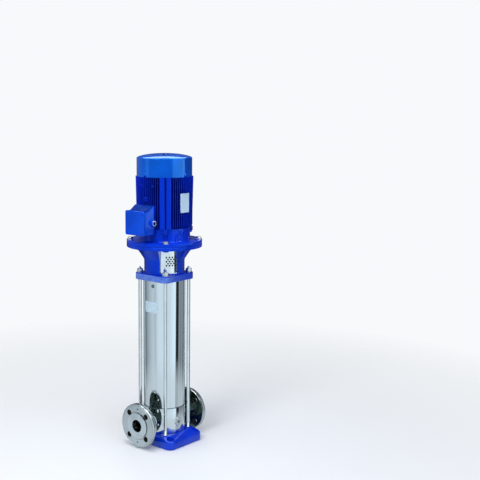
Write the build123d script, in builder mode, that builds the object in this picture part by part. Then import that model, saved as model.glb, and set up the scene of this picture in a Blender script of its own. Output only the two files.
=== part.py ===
from build123d import *
from math import cos, radians, sin, tan
import os

os.makedirs("parts", exist_ok=True)

# Vertical multistage pump with a flange motor, in millimetres.
# Z is up the shaft, X is the flow line from suction to discharge, and the
# origin is the middle of the base's underside.

# Clearances
running_gap = 0.05
neighbour_gap = 0.3
seat_gap = 0.1
bolt_gap = 0.6

# Base casting
base_length = 170
base_width = 214
base_corner = 24
base_rim = 28
pad_side = 148
pad_corner = 18
pad_height = 41
base_wall = 9
pocket_depth = 16
rib_width = 8
foot_hole_r = 7
foot_inset = 20
foot_boss_r = 13
foot_seat_r = 12.5
foot_seat_height = 27

# Pump body and its two lipped ports
body_r = 72.3
body_wall = 6.3
body_floor = 6
body_edge = 3
body_height = 89.5
spigot_height = 14
bowl_r = 48
bowl_wall = 3
bowl_height = 81
bowl_plate = 4
bowl_eye_r = 24
port_height = 80
face_to_face = 280
port_bore_r = 21.5
port_wall = 2.7
lip_r = 44
lip_thickness = 4
inlet_neck_end = 36
outlet_neck_end = 58

# Loose backing flanges
flange_r = 75
flange_thickness = 18
flange_pcd = 110
flange_hole_r = 9
flange_hole_count = 4
flange_play = 0.5
flange_chamfer = 2

# Sleeve, tie rods and their nuts
sleeve_wall = 2.2
sleeve_length = 444
rod_r = 6
rod_spacing = 118
rod_grip = 20
rod_stand_out = 20
nut_flats = 19
nut_height = 10
washer_room = 2.5

# Stage stack
stack_r = 60
stack_wall = 2
stage_count = 7
stage_pitch = 50
diaphragm = 2.5
casing_eye_r = 19
guide_height = 14
guide_hub_r = 14
guide_arm = 7
shaft_r = 8
bush_wall = 3
impeller_r = 50
impeller_disc = 2
impeller_lift = 8
blade_height = 10
blade_count = 5
blade_thickness = 2
blade_inner_r = 17
blade_sweep = 22.5
blade_bow_share = 0.62
blade_bow_drop = 0.28
blade_tip_share = 0.82
impeller_hub_r = 13
impeller_hub_height = 24
outlet_slot_width = 20
outlet_slot_height = 22
chamber_plate = 3

# Head cover and shaft seal
head_depth = 38
head_flange = 4
head_wall = 6
head_neck_r = 40
head_neck_wall = 12
head_neck_rise = 4
head_web = 8
head_eye_r = 12
seal_ring_r = 22
seal_ring_height = 9
seal_ring_lift = 5
seal_play = 1
seal_section = 2.4
seal_groove_lift = 5
vent_boss = 8
gland_plate = 5

# Motor bracket
bracket_plate = 23.5
bracket_plate_side = 149
bracket_plate_corner = 17
bracket_sink = 2
bracket_r = 69.3
bracket_wall = 7.8
bracket_neck = 90
bracket_overhang = 28.7
bracket_flare_height = 45
bracket_flange_r = 129
bracket_flange = 12
window_angle = 241
window_spread = 62
window_sill = 4
window_head = 4
window_reach = 110

# Coupling guards
guard_sheet = 1
guard_overlap = 6
perforation_angle = 244
perforation_columns = 4
perforation_pitch = 10.4
perforation_row = 7
perforation_r = 2.4
perforation_lift = 45

# Split coupling
coupling_r = 27
coupling_length = 70
coupling_split = 1
coupling_lift = 16
coupling_bolt_flats = 6
coupling_head_flats = 10
coupling_bolt_offset = 19.5
coupling_bolt_pitch = 44
coupling_seat = 12
coupling_head = 6

# Motor
motor_flange = 12
motor_spigot_r = 90
motor_spigot = 4
motor_bolt_inset = 12.5
motor_hole_r = 7.25
shield_r = 88
shield_height = 44
shield_wall = 9
shield_floor_sink = 4
lug_r = 8
lug_reach = 89
lug_height = 14
lug_screw_r = 3
lug_screw_flats = 10
lug_screw_head = 6
lug_screw_depth = 16
bolt_head = 8
bolt_tip = 4
frame_r = 88
frame_wall = 11
frame_height = 172
fin_r = 97.8
fin_width = 2.6
fin_count = 14
fin_pitch = 4.5
fin_bite = 1
fin_bevel = 5
ridge_width = 17
ridge_spread = 22
ridge_corner = 6
ridge_depth = 18
groove_depth = 5
motor_shaft_r = 14
bearing_r = 31
bearing_width = 16
bearing_housing = 9
drive_bearing_lift = 16
rear_bearing_sink = 12
shaft_room = 2
core_height = 110
core_bore_r = 47
core_lift = 28
rotor_gap = 0.5
winding_height = 19
winding_wall = 18
cover_r = 94.3
cover_height = 77
cover_sheet = 1.8
cover_crown = [(1, 16.5), (0.985, 13.8), (0.955, 12), (0.83, 8), (0.64, 4.4), (0.42, 1.8), (0, 0)]
grille_slot = 5
grille_count = 18
grille_inner_r = 26
grille_outer_r = 60
rear_shield = 17
rear_plate = 8
rear_ear_depth = 10
rear_ear_width = 16
fan_r = 78
fan_lift = 5
fan_height = 24
fan_blades = 7
fan_disc = 3
fan_hub_r = 22
cover_screw_r = 4.5
cover_screw_head = 2.5
cover_screw_shank_r = 2.5
cover_screw_lift = 9

# Terminal box and nameplate
box_front = 138
box_back = 90
saddle_root = 70
box_bottom = 737
box_height = 80
box_neck_rise = 17
box_neck_start = 122
box_neck_end = 98
box_side_near = 40
box_side_far = 45
box_wall = 4
box_corner = 5
box_edge = 2
lid_thickness = 4
lid_screw_flats = 7
lid_screw_inset = 8
lid_screw_head = 3
lid_screw_r = 2.5
lid_screw_depth = 12
lid_boss_r = 6
lid_lip = 1
block_width = 44
block_depth = 10
block_height = 16
gasket_thickness = 1
gland_x = 103
gland_z = 777
gland_hole_r = 8
gland_flats = 22
gland_hex = 5
gland_nose_r = 9.5
gland_nose = 6
gland_bore_r = 6
plate_width = 41
plate_height = 65
plate_sheet = 1
plate_bottom = 808
plate_middle_x = -4
plate_reach = 95.7

# Vent and drain plugs
plug_flats = 19
plug_head = 9
plug_collar_r = 12
plug_collar = 3
plug_shank_r = 6
vent_angle = 190
vent_drop = 17.5
drain_angle = 264
drain_boss_r = 15
drain_boss_reach = 3
wall_bite = 1

# Levels up the shaft line
foot_spacing_x = base_length - 2 * foot_inset
foot_spacing_y = base_width - 2 * foot_inset
body_bottom = pad_height
body_seam = body_bottom + body_height
floor_top = body_bottom + body_floor
bowl_top = body_bottom + bowl_height
sleeve_bottom = body_seam
sleeve_top = sleeve_bottom + sleeve_length
vent_height = sleeve_top - vent_drop
bracket_bottom = sleeve_top - bracket_sink
bracket_seat = sleeve_top + head_flange
plate_top = bracket_bottom + bracket_plate
bracket_flange_bottom = plate_top + bracket_neck
bracket_top = bracket_flange_bottom + bracket_flange
motor_flange_top = bracket_top + motor_flange
frame_bottom = motor_flange_top + shield_height
frame_top = frame_bottom + frame_height
cover_top = frame_top + cover_height
stack_bottom = bowl_top + guide_height
stack_top = stack_bottom + stage_count * stage_pitch
head_bottom = sleeve_top - head_depth
neck_top = plate_top + head_neck_rise
seal_face = head_bottom + head_web + seal_ring_lift + seal_ring_height
coupling_bottom = plate_top + coupling_lift
coupling_middle = coupling_bottom + coupling_length / 2
perforation_middle = plate_top + perforation_lift
drive_bearing_bottom = motor_flange_top + drive_bearing_lift
rear_bearing_bottom = frame_top - rear_bearing_sink
core_bottom = frame_bottom + core_lift
fan_bottom = frame_top + rear_shield + fan_lift
cover_screw_level = frame_top + cover_screw_lift
box_top = box_bottom + box_height
box_neck_top = box_top + box_neck_rise
box_middle_z = (box_bottom + box_top) / 2
box_middle_y = (box_side_far - box_side_near) / 2
box_width = box_side_near + box_side_far
lid_face = box_front + gasket_thickness + lid_thickness
lid_screw_span_y = box_width - 2 * lid_screw_inset
lid_screw_span_z = box_height - 2 * lid_screw_inset

# Radii that follow from the fits
sleeve_bore_r = body_r - sleeve_wall
spigot_r = sleeve_bore_r - seat_gap
body_bore_r = body_r - body_wall
neck_r = port_bore_r + port_wall
motor_bolt_circle_r = bracket_flange_r - motor_bolt_inset
bracket_flare_r = bracket_flange_r - bracket_overhang
half_face = face_to_face / 2
frame_bore_r = frame_r - frame_wall
bracket_bore_r = bracket_r - bracket_wall
rod_top = plate_top + rod_stand_out
rod_foot = pad_height - rod_grip
rear_ear_r = cover_r - cover_sheet - 2 * neighbour_gap


def turned_plane(angle, reach, height):
    """A plane that faces outwards from the shaft line at an angle, with its x level."""
    facing = Vector(cos(radians(angle)), sin(radians(angle)), 0)
    level = Vector(-sin(radians(angle)), cos(radians(angle)), 0)
    return Plane(origin=facing * reach + Vector(0, 0, height), x_dir=level, z_dir=facing)


def hexagon(flats):
    """A hexagon of a given width across its flats."""
    return RegularPolygon(flats / 2, 6, major_radius=False)


# Base casting: a low rim, faces that slope up to a flat pad, and a ribbed underside
with BuildPart() as base_plate:
    with BuildSketch():
        RectangleRounded(base_length, base_width, base_corner)
    extrude(amount=base_rim)
    with BuildSketch(Plane.XY.offset(base_rim)):
        RectangleRounded(base_length, base_width, base_corner)
    with BuildSketch(Plane.XY.offset(pad_height)):
        RectangleRounded(pad_side, pad_side, pad_corner)
    loft()
    with BuildSketch():
        RectangleRounded(
            base_length - 2 * base_wall, base_width - 2 * base_wall, base_corner - base_wall
        )
        Rectangle(base_length, rib_width, mode=Mode.SUBTRACT)
        Rectangle(rib_width, base_width, mode=Mode.SUBTRACT)
        with GridLocations(foot_spacing_x, foot_spacing_y, 2, 2):
            Circle(foot_boss_r, mode=Mode.SUBTRACT)
    extrude(amount=pocket_depth, mode=Mode.SUBTRACT)
    with BuildSketch(Plane.XY.offset(foot_seat_height)):
        with GridLocations(foot_spacing_x, foot_spacing_y, 2, 2):
            Circle(foot_seat_r)
    extrude(amount=pad_height, mode=Mode.SUBTRACT)
    with BuildSketch():
        with GridLocations(foot_spacing_x, foot_spacing_y, 2, 2):
            Circle(foot_hole_r)
    extrude(amount=pad_height, mode=Mode.SUBTRACT)
    with BuildSketch(Plane.XY.offset(rod_foot)):
        with GridLocations(rod_spacing, rod_spacing, 2, 2):
            Circle(rod_r + seat_gap)
    extrude(amount=pad_height, mode=Mode.SUBTRACT)
base_plate.part.label = "base_plate"
export_step(base_plate.part, "parts/base_plate.step")

# Pump body: a cup pierced for the two necks and tapped for the drain plug
with BuildPart() as pump_body:
    with BuildSketch(Plane.XZ):
        with BuildLine():
            Polyline(
                (0, body_bottom),
                (body_r - body_edge, body_bottom),
                (body_r, body_bottom + body_edge),
                (body_r, body_seam),
                (spigot_r, body_seam),
                (spigot_r, body_seam + seal_groove_lift),
                (spigot_r - seal_section, body_seam + seal_groove_lift),
                (spigot_r - seal_section, body_seam + seal_groove_lift + seal_section),
                (spigot_r, body_seam + seal_groove_lift + seal_section),
                (spigot_r, body_seam + spigot_height),
                (body_bore_r, body_seam + spigot_height),
                (body_bore_r, floor_top),
                (0, floor_top),
                close=True,
            )
        make_face()
    revolve(axis=Axis.Z)
    with BuildSketch(Plane.YZ.offset(-half_face)):
        with Locations((0, port_height)):
            Circle(neck_r + seat_gap)
    extrude(amount=2 * half_face, mode=Mode.SUBTRACT)
    with BuildSketch(turned_plane(drain_angle, body_bore_r + wall_bite, port_height)):
        Circle(drain_boss_r)
    extrude(amount=body_r + drain_boss_reach - body_bore_r - wall_bite)
    with BuildSketch(turned_plane(drain_angle, outlet_neck_end, port_height)):
        Circle(plug_shank_r + running_gap)
    extrude(amount=body_r, mode=Mode.SUBTRACT)
pump_body.part.label = "pump_body"
export_step(pump_body.part, "parts/pump_body.step")

# Inlet bowl: it stands on the body's floor, leaves a ring channel round it for the water
# that comes down from the stages, and leads the inlet neck to the eye in its top plate
with BuildPart() as inlet_bowl:
    with BuildSketch(Plane.XY.offset(floor_top + seat_gap)):
        Circle(bowl_r)
        Circle(bowl_r - bowl_wall, mode=Mode.SUBTRACT)
    extrude(amount=bowl_top - bowl_plate - floor_top - seat_gap)
    with BuildSketch(Plane.XY.offset(bowl_top - bowl_plate)):
        Circle(stack_r)
        Circle(bowl_eye_r, mode=Mode.SUBTRACT)
    extrude(amount=bowl_plate)
    with BuildSketch(Plane.YZ.offset(-half_face)):
        with Locations((0, port_height)):
            Circle(neck_r + seat_gap)
    extrude(amount=half_face - inlet_neck_end, mode=Mode.SUBTRACT)
inlet_bowl.part.label = "inlet_bowl"
export_step(inlet_bowl.part, "parts/inlet_bowl.step")


def port_neck(side, end):
    """A port's neck with its lip, on the side +1 or -1 of X, that ends inside the body."""
    with BuildPart() as neck:
        with BuildSketch(Plane.YZ.offset(side * half_face)):
            with Locations((0, port_height)):
                Circle(lip_r)
                Circle(port_bore_r, mode=Mode.SUBTRACT)
        extrude(amount=-side * lip_thickness)
        with BuildSketch(Plane.YZ.offset(side * half_face)):
            with Locations((0, port_height)):
                Circle(neck_r)
                Circle(port_bore_r, mode=Mode.SUBTRACT)
        extrude(amount=side * (end - half_face))
    return neck


suction_neck = port_neck(-1, inlet_neck_end)
suction_neck.part.label = "suction_neck"
export_step(suction_neck.part, "parts/suction_neck.step")

discharge_neck = port_neck(1, outlet_neck_end)
discharge_neck.part.label = "discharge_neck"
export_step(discharge_neck.part, "parts/discharge_neck.step")


def backing_flange(side):
    """A loose flange that turns behind the lip of a port, on the side +1 or -1 of X."""
    front = side * (half_face - lip_thickness - neighbour_gap)
    with BuildPart() as flange:
        with BuildSketch(Plane.YZ.offset(front)):
            with Locations((0, port_height)):
                Circle(flange_r)
                Circle(neck_r + flange_play, mode=Mode.SUBTRACT)
            with Locations((0, port_height)):
                with PolarLocations(flange_pcd / 2, flange_hole_count, start_angle=45):
                    Circle(flange_hole_r, mode=Mode.SUBTRACT)
        extrude(amount=-side * flange_thickness)
        rims = flange.edges().filter_by(GeomType.CIRCLE).sort_by(SortBy.RADIUS)[-2:]
        chamfer(rims, length=flange_chamfer)
    return flange


suction_flange = backing_flange(-1)
suction_flange.part.label = "suction_flange"
export_step(suction_flange.part, "parts/suction_flange.step")

discharge_flange = backing_flange(1)
discharge_flange.part.label = "discharge_flange"
export_step(discharge_flange.part, "parts/discharge_flange.step")

# Polished outer sleeve, pierced for the vent plug
with BuildPart() as outer_sleeve:
    with BuildSketch(Plane.XY.offset(sleeve_bottom)):
        Circle(body_r)
        Circle(sleeve_bore_r, mode=Mode.SUBTRACT)
    extrude(amount=sleeve_length)
    with BuildSketch(turned_plane(vent_angle, sleeve_bore_r - sleeve_wall, vent_height)):
        Circle(plug_shank_r + neighbour_gap)
    extrude(amount=3 * sleeve_wall, mode=Mode.SUBTRACT)
outer_sleeve.part.label = "outer_sleeve"
export_step(outer_sleeve.part, "parts/outer_sleeve.step")

# Four tie rods, screwed into the pad and nutted on the bracket's plate
with BuildPart() as tie_rods:
    with BuildSketch(Plane.XY.offset(rod_foot)):
        with GridLocations(rod_spacing, rod_spacing, 2, 2):
            Circle(rod_r)
    extrude(amount=rod_top - rod_foot)
tie_rods.part.label = "tie_rods"
export_step(tie_rods.part, "parts/tie_rods.step")

with BuildPart() as tie_rod_nuts:
    with BuildSketch(Plane.XY.offset(plate_top)):
        with GridLocations(rod_spacing, rod_spacing, 2, 2):
            hexagon(nut_flats)
            Circle(rod_r + seat_gap, mode=Mode.SUBTRACT)
    extrude(amount=washer_room + nut_height)
tie_rod_nuts.part.label = "tie_rod_nuts"
export_step(tie_rod_nuts.part, "parts/tie_rod_nuts.step")

# Inlet guide: a plate on the bowl whose three arms carry the lower shaft bush
with BuildPart() as inlet_guide:
    with BuildSketch(Plane.XY.offset(bowl_top)):
        Circle(stack_r)
        Circle(bowl_eye_r, mode=Mode.SUBTRACT)
        with PolarLocations(guide_hub_r, 3):
            Rectangle(2 * (bowl_eye_r - guide_hub_r) + stack_wall, guide_arm)
        Circle(guide_hub_r)
        Circle(shaft_r + bush_wall, mode=Mode.SUBTRACT)
    extrude(amount=guide_height)
inlet_guide.part.label = "inlet_guide"
export_step(inlet_guide.part, "parts/inlet_guide.step")

# Stage casings: stacked cups, each floor pierced by an eye for the next impeller
stage_levels = [stack_bottom + seat_gap + i * stage_pitch for i in range(stage_count)]
with BuildPart() as stage_casings:
    for level in stage_levels:
        with BuildSketch(Plane.XY.offset(level)):
            Circle(stack_r)
            Circle(casing_eye_r, mode=Mode.SUBTRACT)
        extrude(amount=diaphragm)
        with BuildSketch(Plane.XY.offset(level + diaphragm)):
            Circle(stack_r)
            Circle(stack_r - stack_wall, mode=Mode.SUBTRACT)
        extrude(amount=stage_pitch - diaphragm - seat_gap)
stage_casings.part.label = "stage_casings"
export_step(stage_casings.part, "parts/stage_casings.step")

# Impellers: a hub, a disc and blades swept back from the eye
with BuildSketch() as blade_outline:
    with BuildLine():
        root = Vector(blade_inner_r, 0)
        bow = Vector(impeller_r * blade_bow_share, -blade_sweep * blade_bow_drop)
        tip = Vector(impeller_r * blade_tip_share, -blade_sweep)
        Polyline(
            root,
            bow,
            tip,
            tip + Vector(blade_thickness, blade_thickness / 2),
            bow + Vector(blade_thickness / 2, blade_thickness),
            root + Vector(0, blade_thickness),
            close=True,
        )
    make_face()

with BuildPart() as impellers:
    for level in stage_levels:
        foot = level + impeller_lift
        with BuildSketch(Plane.XY.offset(foot)):
            Circle(impeller_hub_r)
            Circle(shaft_r + running_gap, mode=Mode.SUBTRACT)
        extrude(amount=impeller_hub_height)
        with BuildSketch(Plane.XY.offset(foot + blade_height)):
            Circle(impeller_r)
            Circle(shaft_r + running_gap, mode=Mode.SUBTRACT)
        extrude(amount=impeller_disc)
        with BuildSketch(Plane.XY.offset(foot)):
            with PolarLocations(0, blade_count):
                add(blade_outline.sketch)
        extrude(amount=blade_height)
impellers.part.label = "impellers"
export_step(impellers.part, "parts/impellers.step")

# Outlet chamber: a windowed tube above the last stage that carries the upper shaft bush
with BuildPart() as outlet_chamber:
    with BuildSketch(Plane.XY.offset(stack_top + seat_gap)):
        Circle(stack_r)
        Circle(stack_r - stack_wall, mode=Mode.SUBTRACT)
    extrude(amount=head_bottom - stack_top - 2 * seat_gap)
    with BuildSketch(Plane.XY.offset(head_bottom - seat_gap - chamber_plate)):
        Circle(stack_r)
        Circle(shaft_r + bush_wall, mode=Mode.SUBTRACT)
    extrude(amount=chamber_plate)
    with BuildSketch(Plane.XY.offset(head_bottom - seat_gap - guide_height)):
        Circle(guide_hub_r)
        Circle(shaft_r + bush_wall, mode=Mode.SUBTRACT)
    extrude(amount=guide_height)
    with BuildSketch(Plane.XZ.offset(-2 * stack_r)):
        with Locations((0, (stack_top + head_bottom) / 2)):
            Rectangle(outlet_slot_width, outlet_slot_height)
    extrude(amount=4 * stack_r, mode=Mode.SUBTRACT)
    with BuildSketch(Plane.YZ.offset(-2 * stack_r)):
        with Locations((0, (stack_top + head_bottom) / 2)):
            Rectangle(outlet_slot_width, outlet_slot_height)
    extrude(amount=4 * stack_r, mode=Mode.SUBTRACT)
outlet_chamber.part.label = "outlet_chamber"
export_step(outlet_chamber.part, "parts/outlet_chamber.step")

# Plain bushes that guide the pump shaft at the foot and the top of the stack
with BuildPart() as shaft_bushes:
    for level in (bowl_top, head_bottom - seat_gap - guide_height):
        with BuildSketch(Plane.XY.offset(level)):
            Circle(shaft_r + bush_wall - running_gap)
            Circle(shaft_r + running_gap, mode=Mode.SUBTRACT)
        extrude(amount=guide_height)
shaft_bushes.part.label = "shaft_bushes"
export_step(shaft_bushes.part, "parts/shaft_bushes.step")

with BuildPart() as pump_shaft:
    with BuildSketch(Plane.XY.offset(bowl_top - bowl_plate)):
        Circle(shaft_r)
    extrude(amount=coupling_middle - coupling_split / 2 - bowl_top + bowl_plate)
    chamfer(pump_shaft.edges().filter_by(GeomType.CIRCLE), length=1)
pump_shaft.part.label = "pump_shaft"
export_step(pump_shaft.part, "parts/pump_shaft.step")

# Head cover: closes the sleeve, holds the shaft seal in its neck and takes the vent plug
with BuildPart() as head_cover:
    with BuildSketch(Plane.XZ):
        with BuildLine():
            Polyline(
                (head_eye_r, head_bottom),
                (head_neck_r, head_bottom),
                (head_neck_r, bracket_seat - head_web),
                (spigot_r - head_wall, bracket_seat - head_web),
                (spigot_r - head_wall, head_bottom),
                (spigot_r, head_bottom),
                (spigot_r, sleeve_top - seal_groove_lift - seal_section),
                (spigot_r - seal_section, sleeve_top - seal_groove_lift - seal_section),
                (spigot_r - seal_section, sleeve_top - seal_groove_lift),
                (spigot_r, sleeve_top - seal_groove_lift),
                (spigot_r, sleeve_top),
                (body_r, sleeve_top),
                (body_r, bracket_seat),
                (head_neck_r, bracket_seat),
                (head_neck_r, neck_top),
                (head_neck_r - head_neck_wall, neck_top),
                (head_neck_r - head_neck_wall, head_bottom + head_web),
                (head_eye_r, head_bottom + head_web),
                close=True,
            )
        make_face()
    revolve(axis=Axis.Z)
    with BuildSketch(turned_plane(vent_angle, spigot_r - head_wall - vent_boss, vent_height)):
        Circle(plug_collar_r)
    extrude(amount=vent_boss + head_wall / 2)
    with BuildSketch(turned_plane(vent_angle, spigot_r - 3 * head_wall, vent_height)):
        Circle(plug_shank_r + running_gap)
    extrude(amount=4 * head_wall, mode=Mode.SUBTRACT)
head_cover.part.label = "head_cover"
export_step(head_cover.part, "parts/head_cover.step")

# Seal rings that lie in the grooves at both ends of the sleeve
with BuildPart() as sleeve_seals:
    for level in (body_seam + seal_groove_lift, sleeve_top - seal_groove_lift - seal_section):
        with BuildSketch(Plane.XY.offset(level + seat_gap)):
            Circle(spigot_r)
            Circle(spigot_r - seal_section + seat_gap, mode=Mode.SUBTRACT)
        extrude(amount=seal_section - 2 * seat_gap)
sleeve_seals.part.label = "sleeve_seals"
export_step(sleeve_seals.part, "parts/sleeve_seals.step")

# Face seal: a ring that turns with the shaft under one that the gland plate holds still
with BuildPart() as seal_turning_ring:
    with BuildSketch(Plane.XY.offset(seal_face - seal_ring_height)):
        Circle(seal_ring_r)
        Circle(shaft_r + running_gap, mode=Mode.SUBTRACT)
    extrude(amount=seal_ring_height)
seal_turning_ring.part.label = "seal_turning_ring"
export_step(seal_turning_ring.part, "parts/seal_turning_ring.step")

with BuildPart() as seal_seat_ring:
    with BuildSketch(Plane.XY.offset(seal_face + neighbour_gap)):
        Circle(seal_ring_r)
        Circle(shaft_r + seal_play, mode=Mode.SUBTRACT)
    extrude(amount=seal_ring_height)
seal_seat_ring.part.label = "seal_seat_ring"
export_step(seal_seat_ring.part, "parts/seal_seat_ring.step")

with BuildPart() as seal_gland:
    with BuildSketch(Plane.XY.offset(seal_face + neighbour_gap + seal_ring_height)):
        Circle(head_neck_r - head_neck_wall - seat_gap)
    extrude(amount=neck_top - seal_face - neighbour_gap - seal_ring_height)
    with BuildSketch(Plane.XY.offset(neck_top)):
        Circle(head_neck_r)
    extrude(amount=gland_plate)
    with BuildSketch(Plane.XY.offset(seal_face)):
        Circle(shaft_r + seal_play)
    extrude(amount=neck_top, mode=Mode.SUBTRACT)
seal_gland.part.label = "seal_gland"
export_step(seal_gland.part, "parts/seal_gland.step")

# Motor bracket: a square plate, a waisted barrel with two windows and a round flange
with BuildPart() as motor_bracket:
    with BuildSketch(Plane.XY.offset(bracket_bottom)):
        RectangleRounded(bracket_plate_side, bracket_plate_side, bracket_plate_corner)
    extrude(amount=bracket_plate)
    with BuildSketch(Plane.XZ):
        with BuildLine():
            Polyline(
                (0, plate_top),
                (bracket_r, plate_top),
                (bracket_r, bracket_flange_bottom - bracket_flare_height),
                (bracket_flare_r, bracket_flange_bottom),
                (bracket_flange_r, bracket_flange_bottom),
                (bracket_flange_r, bracket_top),
                (0, bracket_top),
                close=True,
            )
        make_face()
    revolve(axis=Axis.Z)
    with BuildSketch(Plane.XY.offset(plate_top)):
        Circle(bracket_bore_r)
    extrude(amount=bracket_top - plate_top, mode=Mode.SUBTRACT)
    with BuildSketch(Plane.XY.offset(bracket_top - motor_spigot - neighbour_gap)):
        Circle(motor_spigot_r + seat_gap)
    extrude(amount=motor_flange, mode=Mode.SUBTRACT)
    with BuildSketch(Plane.XY.offset(bracket_bottom)):
        Circle(body_r + neighbour_gap)
    extrude(amount=bracket_seat - bracket_bottom, mode=Mode.SUBTRACT)
    with BuildSketch(Plane.XY.offset(bracket_bottom)):
        Circle(head_neck_r + neighbour_gap)
    extrude(amount=bracket_plate, mode=Mode.SUBTRACT)
    with BuildSketch(Plane.XY.offset(plate_top + window_sill)):
        with PolarLocations(0, 2, start_angle=window_angle):
            half_width = window_reach * tan(radians(window_spread / 2))
            Polygon((0, 0), (window_reach, -half_width), (window_reach, half_width), align=None)
    extrude(amount=bracket_neck - window_sill - window_head, mode=Mode.SUBTRACT)
    with BuildSketch(Plane.XY.offset(bracket_bottom)):
        with GridLocations(rod_spacing, rod_spacing, 2, 2):
            Circle(rod_r + bolt_gap)
    extrude(amount=bracket_plate, mode=Mode.SUBTRACT)
    with BuildSketch(Plane.XY.offset(bracket_flange_bottom)):
        with PolarLocations(motor_bolt_circle_r, 4, start_angle=45):
            Circle(motor_hole_r)
    extrude(amount=bracket_flange, mode=Mode.SUBTRACT)
motor_bracket.part.label = "motor_bracket"
export_step(motor_bracket.part, "parts/motor_bracket.step")


def coupling_guard(angle):
    """A curved sheet inside a bracket window, with a block of staggered holes."""
    guard_r = bracket_bore_r - neighbour_gap
    half_spread = window_spread / 2 + guard_overlap
    turn = angle + perforation_angle - window_angle
    with BuildPart() as guard:
        with BuildSketch(Plane.XY.offset(plate_top)):
            Circle(guard_r)
            Circle(guard_r - guard_sheet, mode=Mode.SUBTRACT)
            half_width = window_reach * tan(radians(half_spread))
            with Locations(Rotation(0, 0, angle)):
                Polygon(
                    (0, 0),
                    (window_reach, -half_width),
                    (window_reach, half_width),
                    align=None,
                    mode=Mode.INTERSECT,
                )
        extrude(amount=bracket_neck)
        with BuildSketch(turned_plane(turn, guard_r / 2, perforation_middle)):
            with GridLocations(perforation_pitch, 2 * perforation_row, perforation_columns, 3):
                RegularPolygon(perforation_r, 6)
            with GridLocations(perforation_pitch, 2 * perforation_row, perforation_columns - 1, 2):
                RegularPolygon(perforation_r, 6)
        extrude(amount=guard_r, mode=Mode.SUBTRACT)
    return guard


front_guard = coupling_guard(window_angle)
front_guard.part.label = "front_guard"
export_step(front_guard.part, "parts/front_guard.step")

rear_guard = coupling_guard(window_angle - 180)
rear_guard.part.label = "rear_guard"
export_step(rear_guard.part, "parts/rear_guard.step")


def coupling_half(side):
    """Half of the clamp coupling, on the side +1 or -1 of Y."""
    with BuildPart() as half:
        with BuildSketch(Plane.XY.offset(coupling_bottom)):
            Circle(coupling_r)
            with Locations((0, side * (coupling_r + coupling_split / 2))):
                Rectangle(3 * coupling_r, 2 * coupling_r, mode=Mode.INTERSECT)
            Circle(shaft_r + running_gap, mode=Mode.SUBTRACT)
        extrude(amount=coupling_length)
        with BuildSketch(Plane.XY.offset(coupling_middle)):
            Circle(motor_shaft_r + running_gap)
        extrude(amount=coupling_length, mode=Mode.SUBTRACT)
        with BuildSketch(Plane.XZ):
            with Locations((0, coupling_middle)):
                with GridLocations(2 * coupling_bolt_offset, coupling_bolt_pitch, 2, 2):
                    hexagon(coupling_bolt_flats + 2 * seat_gap)
        extrude(amount=coupling_r, both=True, mode=Mode.SUBTRACT)
        with BuildSketch(Plane.XZ.offset(-side * coupling_seat)):
            with Locations((0, coupling_middle)):
                with GridLocations(2 * coupling_bolt_offset, coupling_bolt_pitch, 2, 2):
                    hexagon(coupling_head_flats + 2 * seat_gap)
        extrude(amount=-side * coupling_r, mode=Mode.SUBTRACT)
    return half


coupling_half_front = coupling_half(-1)
coupling_half_front.part.label = "coupling_half_front"
export_step(coupling_half_front.part, "parts/coupling_half_front.step")

coupling_half_rear = coupling_half(1)
coupling_half_rear.part.label = "coupling_half_rear"
export_step(coupling_half_rear.part, "parts/coupling_half_rear.step")

# Clamp bolts of the coupling, each with its nut
with BuildPart() as coupling_bolts:
    with BuildSketch(Plane.XZ):
        with Locations((0, coupling_middle)):
            with GridLocations(2 * coupling_bolt_offset, coupling_bolt_pitch, 2, 2):
                hexagon(coupling_bolt_flats)
    extrude(amount=coupling_seat, both=True)
    for side in (-1, 1):
        with BuildSketch(Plane.XZ.offset(-side * coupling_seat)):
            with Locations((0, coupling_middle)):
                with GridLocations(2 * coupling_bolt_offset, coupling_bolt_pitch, 2, 2):
                    hexagon(coupling_head_flats)
        extrude(amount=-side * coupling_head)
coupling_bolts.part.label = "coupling_bolts"
export_step(coupling_bolts.part, "parts/coupling_bolts.step")

# Drive end shield: the motor's round flange, its spigot, drum and bearing housing
with BuildPart() as drive_end_shield:
    with BuildSketch(Plane.XZ):
        with BuildLine():
            Polyline(
                (motor_shaft_r + shaft_room, bracket_top - motor_spigot),
                (motor_spigot_r, bracket_top - motor_spigot),
                (motor_spigot_r, bracket_top),
                (bracket_flange_r, bracket_top),
                (bracket_flange_r, motor_flange_top),
                (shield_r, motor_flange_top),
                (shield_r, frame_bottom),
                (shield_r - shield_wall, frame_bottom),
                (shield_r - shield_wall, motor_flange_top - shield_floor_sink),
                (bearing_r + bearing_housing, motor_flange_top - shield_floor_sink),
                (bearing_r + bearing_housing, drive_bearing_bottom + bearing_width),
                (bearing_r + seat_gap, drive_bearing_bottom + bearing_width),
                (bearing_r + seat_gap, drive_bearing_bottom),
                (motor_shaft_r + shaft_room, drive_bearing_bottom),
                close=True,
            )
        make_face()
    revolve(axis=Axis.Z)
    with BuildSketch(Plane.XY.offset(motor_flange_top)):
        with PolarLocations(lug_reach, 4, start_angle=45):
            Circle(lug_screw_flats / 2 + shaft_room)
    extrude(amount=shield_height - lug_height, mode=Mode.SUBTRACT)
    with BuildSketch(Plane.XY.offset(frame_bottom - lug_height)):
        with PolarLocations(lug_reach, 4, start_angle=45):
            Circle(lug_r)
    extrude(amount=lug_height)
    with BuildSketch(Plane.XY.offset(frame_bottom - lug_height)):
        with PolarLocations(lug_reach, 4, start_angle=45):
            Circle(lug_screw_r + seat_gap)
    extrude(amount=lug_height, mode=Mode.SUBTRACT)
    with BuildSketch(Plane.XY.offset(bracket_top)):
        with PolarLocations(motor_bolt_circle_r, 4, start_angle=45):
            Circle(motor_hole_r)
    extrude(amount=motor_flange, mode=Mode.SUBTRACT)
drive_end_shield.part.label = "drive_end_shield"
export_step(drive_end_shield.part, "parts/drive_end_shield.step")

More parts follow.
